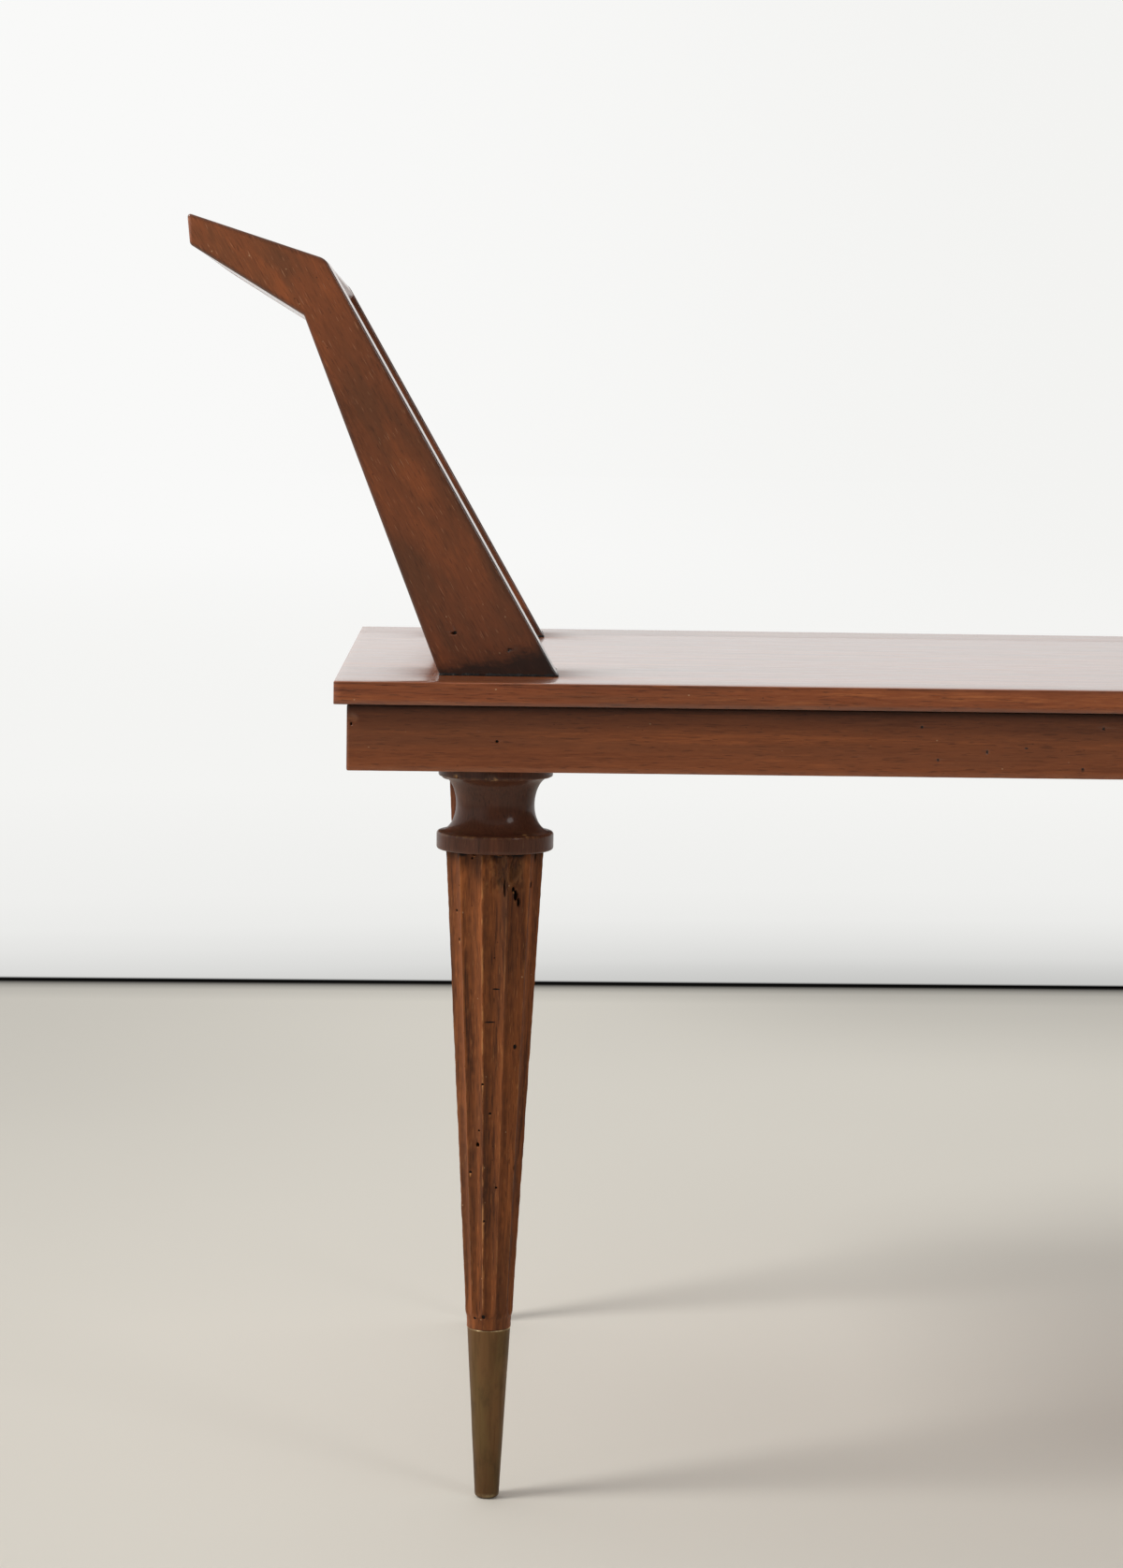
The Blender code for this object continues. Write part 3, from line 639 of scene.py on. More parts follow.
def arm_wood(name, grain, seed, lower, darkest):
    """Arm wood, its lower limb shaded by this share, with a stain that creeps up from the foot."""
    graph = wood(name, ARM_WOOD, grain, seed)
    place = graph.place()
    height = graph.axis(place, "Z")
    from_middle = graph.math("ABSOLUTE", graph.axis(place, "X"))
    base = graph.shader.inputs["Base Color"].links[0].from_socket
    outward = graph.math("SUBTRACT", from_middle, SEAT_END)
    reach = graph.plus(height, graph.times(outward, BRIGHT_LEAN))
    low, high = (SEAT_TOP + rise for rise in BRIGHT_HEIGHTS)
    base = graph.mix(1.0, base, graph.ramp(reach, low, high, lower, BRIGHT_LIMB), "MULTIPLY")
    ragged = graph.noise(place, (45, 45, 110), 4.0, 0.65)
    edge = graph.plus(height, graph.times(ragged, STAIN_RAGS))
    edge = graph.plus(edge, graph.times(from_middle, STAIN_LEAN))
    outer = SEAT_TOP + STAIN_LEAN * (SEAT_END - FOOT_OUTER[0])
    low, high = (outer + offset for offset in STAIN_EDGE)
    graph.shade(Base_Color=graph.mix(graph.ramp(edge, low, high, darkest, 0.0), base, colour(STAIN)))
    return graph.material


def glue_and_gap_shade_material():
    # Near black glue, its black partly painted shade of the gap under the foot
    graph = Graph("old_glue_and_gap_shade")
    grains = graph.noise(graph.place(), (900, 900, 900), 2.0)
    base = graph.mix(graph.ramp(grains, 0.62, 0.72), colour((16, 12, 11)), colour((88, 74, 62)))
    graph.shade(Base_Color=base, Roughness=graph.ramp(grains, 0.3, 0.7, 0.35, 0.7),
                Normal=graph.bump(grains, 0.0002, 0.8))
    return graph.material


def brass_material():
    """Dull, handled brass with an olive and reddish patina and rubbed edges, their paleness partly a
    painted highlight.
    """
    graph = Graph("aged_brass")
    place = graph.place()
    clouds = graph.noise(place, (70, 70, 14), 3.0, 0.55)
    grime = graph.noise(place, (160, 160, 60), 4.0, 0.65)
    scratches = graph.noise(place, (500, 500, 30), 2.0)
    base = graph.mix(graph.ramp(clouds, 0.38, 0.62), colour((116, 91, 58)), colour((120, 88, 57)))
    base = graph.mix(graph.ramp(grime, 0.45, 0.75, 0.0, 0.5), base, colour((74, 60, 40)))
    base = graph.mix(graph.ramp(scratches, 0.45, 0.75, 0.0, 0.35), base, colour((84, 66, 42)))
    # Rubbed pale at the edges, partly wear and partly painted highlight
    rubbed_and_highlit = graph.times(graph.attribute("wear"), graph.ramp(grime, 0.4, 0.6, 0.2, 1.0))
    base = graph.mix(rubbed_and_highlit, base, colour((236, 212, 164)))
    dull = graph.ramp(graph.axis(place, "Z"), 0.0, 0.05, 0.72, 1.0)
    base = graph.mix(1.0, base, dull, "MULTIPLY")
    graph.shade(Base_Color=base, Metallic=0.85,
                Roughness=graph.ramp(scratches, 0.3, 0.7, 0.44, 0.56),
                Normal=graph.bump(scratches, 0.00003, 0.5))
    return graph.material


def steel_material():
    graph = Graph("dull_steel")
    place = graph.place()
    spots = graph.noise(place, (500, 500, 500), 3.0, 0.6)
    base = graph.mix(graph.ramp(spots, 0.45, 0.7), colour((150, 148, 142)), colour((96, 78, 62)))
    graph.shade(Base_Color=base, Metallic=0.9, Roughness=graph.ramp(spots, 0.3, 0.7, 0.35, 0.6),
                Normal=graph.bump(spots, 0.00005, 0.5))
    return graph.material


# Boards

def make_seat(material):
    """The seat board, with the shallow line of the joint along its rear."""
    joint = SEAT_FRONT - JOINT_FROM_REAR
    half_width = SEAT_FRONT - SEAT_ARRIS
    marks = [(joint, JOINT_WIDTH), (SEAT_SCUFF.v * MM - SEAT_FRONT, SEAT_SCUFF.height * MM)]
    lines = spaced(-half_width, half_width, 0.012, marks)
    shares = (lines[1:-1] + half_width) / (2 * half_width)
    shape = template(shares, np.array([0.25, 0.5, 0.75, 0.85, 0.91, 0.95, 0.98]))
    marks = [(SEAT_SCUFF.u * MM - SEAT_END, SEAT_SCUFF.width * MM)]
    stations = spaced(-SEAT_END, SEAT_END, 0.005, marks)
    low, high = (-SEAT_FRONT, SEAT_LOW.z), (SEAT_FRONT, SEAT_TOP)
    rings = []
    for place, ease in eased_ends(-SEAT_END, SEAT_END, stations, SEAT_ARRIS):
        across, up = between_arrises(shape, low, high, SEAT_ARRIS, ease)
        rings.append(np.stack([np.full(len(across), place), across, up], 1))
    rings = np.array(rings)
    top = rings[..., 2] > SEAT_TOP - 0.0001
    groove = pit((rings[..., 1] - joint) / JOINT_WIDTH, 0)
    rings[..., 2] -= np.where(top, groove * JOINT_DEPTH, 0)
    arris = np.tile(shape.arris, (len(rings), 1))
    below = rings[..., 2] < (SEAT_LOW.z + SEAT_TOP) / 2
    drop, reach, strength = ARRIS_LINE
    line = strength * np.exp(-(((SEAT_TOP - rings[..., 2] - drop) / reach) ** 2))
    line *= np.clip(1 + rough(rings, 0.03, 9), 0.4, 1.6)
    rings = worn_arrises(rings, arris, 0.00012, 0.006, 5)
    scuff = sunk_by(SEAT_SCUFF, rings[..., 0] + SEAT_END, rings[..., 1] + SEAT_FRONT)
    marked = np.maximum(np.maximum(groove * 0.6, scuff * 0.55), SEAT_GRIME)
    piece(
        "seat_board", rings, material, "seat_walnut", "seat_top",
        wear=np.where(below, 0, arris),
        dirt=np.where(top, marked, np.where(below, arris * 0.6, line)),
        dull=np.where(top, seat_dullness(rings, joint), 0),
    )


def seat_dullness(rings, joint):
    """How much polish is gone: round the feet of the arms, along the front and on the rear strip."""
    x, y = abs(rings[..., 0]), rings[..., 1]
    inner, outer = SEAT_END - FOOT_INNER[0], SEAT_END - FOOT_OUTER[0]
    aside = np.maximum(np.maximum(inner - x, x - outer), 0)
    ahead = np.maximum(np.maximum(ARM_FACE - ARM_THICKNESS - abs(y), abs(y) - ARM_FACE), 0)
    feet = np.exp(-np.hypot(aside, ahead) / FOOT_DULLNESS)
    front = FRONT_DULLNESS * np.exp(-(y + SEAT_FRONT) / FRONT_REACH)
    strip = STRIP_DULLNESS * (y > joint)
    return np.maximum(np.maximum(feet, front), strip)


def worn_arrises(rings, worn, depth, size, seed):
    """Dents the arrises a little, unevenly, towards the middle of each ring."""
    centre = rings.mean(1, keepdims=True)
    inward = centre - rings
    inward /= np.linalg.norm(inward, axis=2, keepdims=True) + 1e-9
    amount = np.zeros(worn.shape)
    spots = worn > 0
    amount[spots] = np.clip(rough(rings[spots], size, seed) + 0.15, 0, 1)
    return rings + inward * (amount * worn * depth)[..., None]


def apron_ring(shape, place, half):
    """The points across an apron board at a place along it, eased and mitred at its ends."""
    y, z = between_arrises(shape, (0, APRON_LOW.z), (APRON_THICKNESS, APRON_HIGH.z), APRON_ARRIS)
    from_end = half - abs(place)
    inside = APRON_ARRIS * math.sqrt(0.5) - from_end
    if inside > 0:
        y = np.maximum(y, APRON_ARRIS - math.sqrt(APRON_ARRIS**2 - inside**2))
    mitre = max(0.0, 1 - from_end / (2 * APRON_THICKNESS))
    return np.stack([place - math.copysign(1, place) * y * mitre, y, z], 1)


def make_apron(side, length, distance, angle, dents, chips, seed, material):
    """One side of the frame, mitred, its outer face at this distance from the middle."""
    half = length / 2
    height = APRON_HIGH.z - APRON_LOW.z
    marks = [(-half, 0.003), (half, 0.003)]
    rises = []
    for dent in dents + chips:
        marks.append((dent.u * MM - SEAT_END, dent.width * MM))
        rises.append(((dent.v * MM - APRON_LOW.z) / height, dent.height * MM / height))
    shape = template(np.linspace(0, 1, 5)[1:-1], spaced(0, 1, 0.07, rises)[1:-1])
    rings = np.array([apron_ring(shape, place, half) for place in spaced(-half, half, 0.006, marks)])
    below = APRON_HIGH.z - rings[..., 2]
    # Painted shade under the seat's overhang, darkest at the top; the dents are added below
    dirt = sum(strength * np.exp(-below / reach) for strength, reach in APRON_SHADE_BAND)
    wear = np.tile(shape.arris, (len(rings), 1))
    face = rings[..., 1] < APRON_ARRIS
    for dent in dents + chips:
        share = np.where(face, sunk_by(dent, rings[..., 0] + SEAT_END, rings[..., 2]), 0)
        rings[..., 1] += share * dent.depth * MM
        if dent in chips:
            wear = np.maximum(wear, share * CHIP_PALENESS)
        else:
            dirt = np.maximum(dirt, share)
    rings = worn_arrises(rings, np.minimum(wear, 1), 0.00018, 0.007, seed)
    turn = np.array(Matrix.Rotation(angle, 3, "Z"))
    rings = rings @ turn.T + np.array([distance * math.sin(angle), -distance * math.cos(angle), 0])
    piece(side + "_board", rings, material, "apron_walnut", "apron_" + side, wear=wear, dirt=dirt)


def make_aprons():
    long, deep = 2 * APRON_HIGH.x, -2 * APRON_LOW.y
    for side, turns, seed in APRON_SIDES:
        sideways = turns % 2
        length, across = (deep, long) if sideways else (long, deep)
        material = wood(f"apron_{side}_wood", APRON_WOOD, (0, 0, math.pi / 2 * sideways), seed).material
        dents, chips = (APRON_DENTS, APRON_CHIPS) if side == "front" else ([], [])
        angle = math.pi / 2 * turns
        make_apron(side, length - APRON_GAP, across / 2, angle, dents, chips, seed + 7, material)


# Ends

def arm_sections(marks):
    """Across the arm from foot to tip: outer and inner point, ease, and share of the upper limb."""
    knee = corner_arc(KNEE, FOOT_INNER, TIP, KNEE_RADIUS, 8)
    elbow = corner_arc(ELBOW, FOOT_OUTER, TIP_LOW, ELBOW_RADIUS, 8)
    tip = corner_arc(TIP, KNEE, TIP_LOW, TIP_RADIUS, 5)
    low = corner_arc(TIP_LOW, ELBOW, TIP, TIP_LOW_RADIUS, 5)
    outer, inner = np.array(FOOT_OUTER), np.array(FOOT_INNER)
    sections = []
    for share in spaced(0, 1, 0.018, marks)[:-1]:
        along = outer + (elbow[0] - outer) * share, inner + (knee[0] - inner) * share
        sections.append((*along, 1.0, 0.0))
    for index, places in enumerate(zip(elbow, knee)):
        sections.append((*places, 1.0, index / (len(knee) - 1)))
    for share in np.linspace(0, 1, 22)[1:-1]:
        along = elbow[-1] + (low[0] - elbow[-1]) * share, knee[-1] + (tip[0] - knee[-1]) * share
        sections.append((*along, 1.0, 1.0))
    for index, places in enumerate(zip(low, tip)):
        ease = max(0.17, math.cos(math.pi / 2 * index / (len(tip) - 1)))
        sections.append((*places, ease, 1.0))
    return sections


def place_in_limb(dent):
    """A dent's shares up the lower limb and across it."""
    rise = across = 0.0
    for _ in range(6):
        rise = dent.v * MM / (ELBOW[1] + (KNEE[1] - ELBOW[1]) * across)
        outer = FOOT_OUTER[0] + (ELBOW[0] - FOOT_OUTER[0]) * rise
        inner = FOOT_INNER[0] + (KNEE[0] - FOOT_INNER[0]) * rise
        across = (dent.u * MM - outer) / (inner - outer)
    return rise, across


def underside_drop(point):
    """How much lower the underside lies at the arm's inner face, fading out at the tip."""
    return UNDERSIDE_DRAFT * float(smoothstep(0, 0.028, math.dist(point, TIP_LOW)))


def at_arm(corner, inward, back, rise):
    """Places at distances inward from the seat's end, back from the arm's front, and up."""
    front = -ARM_FACE if corner.row < 0 else ARM_FACE - ARM_THICKNESS
    return np.stack([corner.side * (SEAT_END - inward), front + back, SEAT_TOP + rise], 1)


def make_arm(corner, dents, material):
    width = FOOT_INNER[0] - FOOT_OUTER[0]
    crossing, rising = [], []
    for dent in dents:
        rise, across = place_in_limb(dent)
        crossing.append((across, dent.width * MM / width))
        rising.append((rise, dent.height * MM / KNEE[1]))
    shape = template(spaced(0, 1, 0.06, crossing)[1:-1], np.linspace(0, 1, 9)[1:-1])
    from_face = shape.up if corner.row < 0 else 1 - shape.up
    rings = []
    for outer, inner, ease, upper in arm_sections(rising):
        width = math.dist(outer, inner)
        reach, back = between_arrises(shape, (0, 0), (width, ARM_THICKNESS), ARM_ARRIS)
        back = back - (1 - ease) * ARM_ARRIS * shape.push_up
        drop = underside_drop(outer) if upper > 0.5 else 0
        reach = reach - from_face * (1 - shape.across) * drop
        reach = reach + from_face * shape.across * INNER_DRAFT
        place = outer + reach[:, None] * (inner - outer) / width
        rise = np.maximum(place[:, 1], GLUE_HEIGHT * 0.7)
        rings.append(at_arm(corner, place[:, 0], back, rise))
    rings = np.array(rings)
    sunk = np.zeros(rings.shape[:2])
    for dent in dents:
        share = sunk_by(dent, SEAT_END - abs(rings[..., 0]), rings[..., 2] - SEAT_TOP)
        share = np.where(abs(rings[..., 1]) > ARM_FACE - ARM_ARRIS, share, 0)
        rings[..., 1] -= corner.row * share * dent.depth * MM
        sunk = np.maximum(sunk, share)
    worn = np.tile(shape.arris, (len(rings), 1))
    rings = worn_arrises(rings, worn, 0.00006, 0.006, 20 + corner.row + 3 * corner.side)
    piece(f"rest_arm_{corner.name}", rings, material, "arm_walnut", f"arm_{corner.name}",
          dirt=np.maximum(sunk, worn * 0.6))


def make_glue(corner, material):
    """The uneven line of old glue that shows round an arm's foot, its black partly painted shade of the
    gap.
    """
    shape = template(np.linspace(0, 1, 60)[1:-1], np.linspace(0, 1, 44)[1:-1], 2)
    inward, back = between_arrises(shape, (FOOT_OUTER[0], 0), (FOOT_INNER[0], ARM_THICKNESS), 0.0006)
    flat = np.stack([inward, back, np.zeros(len(back))], 1)
    seed = 31 + corner.row + 3 * corner.side
    wander = 0.5 + rough(flat, 0.004, seed) + 0.4 * rough(flat, 0.0012, seed + 5)
    rings = []
    for level, proud in GLUE_LEVELS:
        reach = GLUE_PROUD * proud * wander
        rise = GLUE_HEIGHT * level * (0.85 + 0.5 * wander * (level > 0.8))
        ring = at_arm(corner, inward + reach * shape.push_across, back + reach * shape.push_up, rise)
        rings.append(ring)
    piece(f"foot_glue_and_gap_shade_{corner.name}", rings, material, "arm_walnut")


def make_armrest(side_name, side, material):
    """The board between two arms, with eased edges at the lip and the elbow."""
    lip = np.array(KNEE) + (np.array(FOOT_INNER) - KNEE) * ARMREST_LIP / math.dist(KNEE, FOOT_INNER)
    along = np.array(ELBOW) - TIP_LOW
    below = np.array([-along[1], along[0]]) / -math.dist(ELBOW, TIP_LOW)
    underside = [np.array(TIP_LOW) + along * share for share in np.linspace(0.07, 0.985, 24)]
    outline = np.concatenate([
        corner_arc(lip, ELBOW, KNEE, 0.0006, 3),
        corner_arc(KNEE, lip, TIP, KNEE_RADIUS * 0.8, 8),
        corner_arc(TIP, KNEE, TIP_LOW, TIP_RADIUS, 5),
        corner_arc(TIP_LOW, TIP, ELBOW, TIP_LOW_RADIUS, 5),
        [point + below * underside_drop(point) for point in underside],
        [np.array(ELBOW) + below * UNDERSIDE_DRAFT * 0.9],
    ])
    reach = ARM_FACE - ARM_THICKNESS - 0.0003
    x, z = side * (SEAT_END - outline[:, 0]), SEAT_TOP + outline[:, 1]
    rings = [np.stack([x, np.full(len(x), y), z], 1) for y in spaced(-reach, reach, 0.006)]
    worn = np.tile(np.arange(len(outline)) < 4, (len(rings), 1))
    piece(f"rest_board_{side_name}", rings, material, "armrest_walnut", f"armrest_{side_name}",
          wear=worn, dull=worn * LIP_DULLNESS)


# Legs

def leg_centre(corner):
    low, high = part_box(f"leg_shaft_{corner.name}")
    return (low.x + high.x) / 2, (low.y + high.y) / 2


def turned(profile, count):
    """A turned shape's radii and heights, repeated round, and the angles in degrees."""
    radii, heights = (np.repeat(profile[:, [column]], count, 1) for column in (0, 1))
    return radii, heights, np.broadcast_to(np.linspace(-180, 180, count + 1)[:-1], radii.shape)


def around(radii, heights, angles, centre):
    """Points at these radii and heights, at angles in degrees from the front towards +X."""
    turn = np.radians(angles)
    x = centre[0] + radii * np.sin(turn)
    y = centre[1] - radii * np.cos(turn)
    return np.stack([x, y, np.broadcast_to(heights, x.shape)], -1)


def dented(radii, angles, heights, dents):
    """Radii with the dents sunk in, and the shares of a dent and of the painted glint on its lower lip.
    """
    sunk = np.zeros(radii.shape)
    lip_glints = np.zeros(radii.shape)
    for dent in dents:
        turn = (angles - dent.u + 180) % 360 - 180
        across = np.radians(turn) * radii / (dent.width * MM)
        along = (heights - dent.v * MM) / (dent.height * MM)
        share = pit(across, along)
        radii = radii - share * dent.depth * MM
        sunk = np.maximum(sunk, share)
        if dent.depth > 0.5 and dent.height < 1.6 * dent.width:
            lip_glints = np.maximum(lip_glints, pit(across / 0.7, (along + 0.85) / 0.4))
    return radii, sunk, lip_glints


def capital_profile():
    """Radius and height down the outside from the flange to the ring, then up the bore."""
    top, bottom = CAPITAL_HIGH.z, CAPITAL_LOW.z
    flange = top - FLANGE_THICKNESS
    neck = flange - COVE_UPPER
    ring_top = neck - COVE_LOWER
    ring_inner = RING_RADIUS - RING_EDGE
    lip = FLANGE_RADIUS - 0.0012
    flange_side = np.linspace(top - 0.001, flange + 0.0008, 6)
    ring_side = np.linspace(ring_top - 0.0022, bottom + 0.0022, 5)
    return np.array([
        (BORE_RADIUS, top), (FLANGE_RADIUS - 0.0004, top), (FLANGE_RADIUS, top - 0.0004),
        *((FLANGE_RADIUS, height) for height in flange_side),
        (FLANGE_RADIUS - 0.0002, flange + 0.0003), (FLANGE_RADIUS - 0.0006, flange),
        *bend((lip, neck), NECK_RADIUS - lip, COVE_UPPER - 0.0003, 90, 0, 15),
        *bend((ring_inner, neck), NECK_RADIUS - ring_inner, -COVE_LOWER, 0, 90, 15)[1:],
        *bend((ring_inner, ring_top - RING_EDGE), RING_EDGE, RING_EDGE, 75.676, 0, 5),
        *((RING_RADIUS, height) for height in ring_side),
        *bend((ring_inner, bottom + RING_EDGE), RING_EDGE, -RING_EDGE, 0, 90, 6),
        (BORE_RADIUS, bottom), (BORE_RADIUS, (top + bottom) / 2),
    ])


def make_capital(corner, dents, seed, material):
    radii, heights, angles = turned(capital_profile(), CAPITAL_SIDES)
    outside = radii > BORE_RADIUS + 0.002
    radii, sunk, _ = dented(radii, angles, heights, dents)
    centre = leg_centre(corner)
    wander = rough(around(radii, heights, angles, centre), 0.012, seed)
    radii = np.where(outside, radii + wander * 0.00008, radii)
    flange = CAPITAL_HIGH.z - FLANGE_THICKNESS
    ring_arris = flange - COVE_UPPER - COVE_LOWER - RING_EDGE / 2
    # Pale lines along the flange's lower arris and the ring's top arris, partly wear and partly painted
    # highlight
    worn = 0.15 * np.exp(-(((heights - flange - 0.0004) / 0.0008) ** 2))
    worn += 0.35 * np.exp(-(((heights - ring_arris) / 0.0007) ** 2)) * (radii > RING_RADIUS - 0.0016)
    worn = np.where(radii > NECK_RADIUS + 0.004, worn, 0)
    chipped = sunk * (radii > FLANGE_RADIUS - 0.003) * CHIP_PALENESS
    piece(
        f"turned_head_{corner.name}", around(radii, heights, angles, centre), material,
        "capital_walnut", f"leg_capital_{corner.name}", joined=True,
        wear=np.clip(worn * 0.8 + chipped, 0, 1),
        # The flange is darkened with painted shadow from the apron above it
        dirt=0.30 * smoothstep(flange, flange + 0.001, heights),
    )


def cone_radius(heights):
    """The radius of a shaft's arrises."""
    share = (heights - SHOULDER) / (SHAFT_TOP - SHOULDER)
    return SHAFT_LOW_RADIUS + (SHAFT_TOP_RADIUS - SHAFT_LOW_RADIUS) * share


def shaft_radii(angles, heights):
    """The fluted shaft's radius: a cone, cut by flutes that run out above the band."""
    arris = cone_radius(heights)
    band_top = SHOULDER + BAND_HEIGHT
    cone = BAND_RADIUS + (arris - BAND_RADIUS) * smoothstep(band_top - 0.002, band_top + 0.004, heights)
    across = ((angles - FLUTE_TURN / 2) % FLUTE_TURN) / FLUTE_TURN
    turn = np.radians((across - 0.5) * FLUTE_TURN)
    depth = FLUTE_DEPTH_SHARE * arris
    flat = arris * math.cos(math.radians(FLUTE_TURN / 2))
    below = np.clip((band_top + RUNOUT - heights) / RUNOUT, 0, 1)
    lift = (arris - flat + depth) * (1 - np.sqrt(1 - below**2 * 0.9999)) * 1.1
    flute = flat / np.cos(turn) - 4 * depth * across * (1 - across) + lift
    return np.minimum(cone, flute), across


def shaft_grid(dents, worn_head):
    """Angles in degrees and heights all over a shaft, closer at its arrises and dents."""
    turns = [(flute + 0.5 + share) * FLUTE_TURN for flute in range(FLUTES) for share in FLUTE_SHARES]
    turns = [(turn + 180) % 360 - 180 for turn in turns]
    for dent in dents:
        half = math.degrees(dent.width * MM / cone_radius(dent.v * MM))
        turns += [dent.u + half * share for share in (-1.05, -0.75, -0.45, 0, 0.45, 0.75, 1.05)]
    if worn_head:
        turns += list(np.arange(*ROUGH_ANGLES, 1.8))
    turns.sort()
    angles = turns[:1]
    for turn in turns[1:]:
        if turn - angles[-1] > 0.35:
            angles.append(turn)
    marks = [(dent.v * MM, dent.height * MM) for dent in dents]
    lower = spaced(SHOULDER, ROUGH_LOW * MM, 0.0028, marks)
    upper = spaced(ROUGH_LOW * MM, SHAFT_TOP, 0.0009 if worn_head else 0.0026, marks)
    return np.meshgrid(angles, np.concatenate([lower, upper[1:]]))


def streak_dirt(streak, angles, heights):
    """How dark a streak is at each angle and height, fading out at its ends."""
    low, high = streak.low * MM, streak.high * MM
    across = np.exp(-(((angles - streak.u) / streak.width) ** 2))
    along = smoothstep(low, low + 0.03, heights) * (1 - smoothstep(high - 0.03, high, heights))
    return streak.strength * across * along


def worn_shaft(points, angles, heights, nicks, seed):
    """How deep, dark and worn the front left shaft is, in its rough patch and its streaks."""
    start, end = ROUGH_ANGLES
    low = ROUGH_LOW * MM
    zone = smoothstep(start, start + 8, angles) * (1 - smoothstep(end - 10, end, angles))
    zone *= smoothstep(low, low + 0.012, heights)
    fine = rough(points * (1, 1, 0.5), 0.0021, seed + 7)
    broad = rough(points * (1, 1, 0.6), 0.007, seed + 9)
    depth = zone * ROUGH_DEPTH * np.clip(0.4 + 1.1 * fine + 0.8 * broad, 0, 1.4)
    dirt = zone * np.clip(0.06 + 0.9 * fine + 0.7 * broad, 0, 0.6)
    for streak in SHAFT_STREAKS:
        dirt = np.maximum(dirt, streak_dirt(streak, angles, heights) * np.clip(0.8 + nicks, 0, 1))
    shadow = smoothstep(*SHADOW_HEIGHTS, heights) * smoothstep(*SHADOW_LEFT, angles)
    shadow *= 1 - smoothstep(*SHADOW_RIGHT, angles)
    stained = 0.30 + 0.6 * broad + 0.18 * (1 - smoothstep(*SHADOW_DARKER, angles))
    return depth, np.maximum(dirt, shadow * np.clip(stained, 0.10, 0.58)), zone * ROUGH_WEAR


def make_shaft(corner, dents, seed, material):
    """One fluted shaft with its tenon above and its spigot in the cup below."""
    centre = leg_centre(corner)
    angles, heights = shaft_grid(dents, corner.seen)
    radii, across = shaft_radii(angles, heights)
    points = around(radii, heights, angles, centre)
    nicks = rough(points, 0.004, seed + 3)
    arc = np.minimum(across, 1 - across) * math.radians(FLUTE_TURN) * radii
    near = np.exp(-((arc / ARRIS_REACH) ** 2)) * smoothstep(SHOULDER + 0.008, SHOULDER + 0.018, heights)
    radii = radii + rough(points, 0.014, seed) * 0.00010
    radii -= near * np.clip(0.00014 + nicks * 0.00024, 0, 1)
    depth, dirt, wear = worn_shaft(points, angles, heights, nicks, seed) if corner.seen else (0, 0, 0)
    radii, sunk, lip_glints = dented(radii - depth, angles, heights, dents)
    # Painted shade right under the ring
    shade_under_ring = np.exp((heights - SHAFT_TOP) / 0.0038) * (0.9 + nicks * 0.9)
    # Painted shade in each flute, on the side turned from the light
    flute_shade = 0.26 * smoothstep(0.02, 0.16, across) * (1 - smoothstep(0.30, 0.75, across))
    flute_shade *= np.clip(0.7 + nicks, 0, 1)
    # Darker towards the foot
    darker_near_foot = 0.16 * (1 - smoothstep(SHOULDER, SHOULDER + 0.13, heights))
    # Dents are darkened, partly dirt and partly painted shade in the holes
    for layer in (sunk * 2.5, shade_under_ring, flute_shade + darker_near_foot):
        dirt = np.maximum(dirt, layer)
    # Pale along the arrises, partly wear and partly painted highlight, and painted glints below the dents
    paleness = np.where(abs(angles - PALE_ARRIS) < 8, *ARRIS_WEAR_AND_HIGHLIGHT)
    wear = np.maximum(wear, np.maximum(near**2 * paleness, lip_glints * 1.5))
    ends = [
        around(np.full(radii.shape[1], radius), height, angles[0], centre)
        for radius, height in (
            (SABOT_FOOT_RADIUS - SPIGOT_DRAFT, SHAFT_LOW.z), (SABOT_RIM_RADIUS - SPIGOT_DRAFT, SHOULDER),
            (TENON_RADIUS, SHAFT_TOP), (TENON_RADIUS, SHAFT_HIGH.z),
        )
    ]
    rings = np.concatenate([ends[:2], around(radii, heights, angles, centre), ends[2:]])
    pad = ((2, 2), (0, 0))
    piece(
        f"fluted_shaft_{corner.name}", rings, material, "shaft_walnut", f"leg_shaft_{corner.name}",
        wear=np.pad(wear, pad), dirt=np.pad(np.clip(dirt - lip_glints, 0, 1), pad),
    )


def random_dents(generator):
    """Holes and knocks like those on the front left shaft, anywhere on another."""
    return [Dent(*(generator.uniform(*ends) for ends in OTHER_DENT_RANGES)) for _ in range(OTHER_DENTS)]


def sabot_profile():
    """Radius, height and paleness, partly wear and partly painted highlight, from the middle of the foot
    up the outside, then down the bore.
    """
    foot, rim, height = SABOT_FOOT_RADIUS, SABOT_RIM_RADIUS, SABOT_HEIGHT
    slope = (rim - foot) / height
    inner, edge = rim - SABOT_WALL, SABOT_RIM_EDGE
    side = np.linspace(SABOT_FOOT_EDGE * 1.6, height - 0.0007, 40)
    return np.array([
        (foot * 0.4, 0, 0.0),
        *((*point, 0.3) for point in corner_arc((foot, 0), (0, 0), (rim, height), SABOT_FOOT_EDGE, 8)),
        *((foot + slope * rise, rise, 0.0) for rise in side),
        *((*point, 1.0) for point in bend((rim - edge, height - edge), edge, edge, 0, 90, 4)),
        (inner, height, 0.6), (inner, height - 0.001, 0.0),
        (foot - SABOT_WALL + slope * SABOT_FLOOR, SABOT_FLOOR, 0.0), (0.001, SABOT_FLOOR, 0.0),
    ])


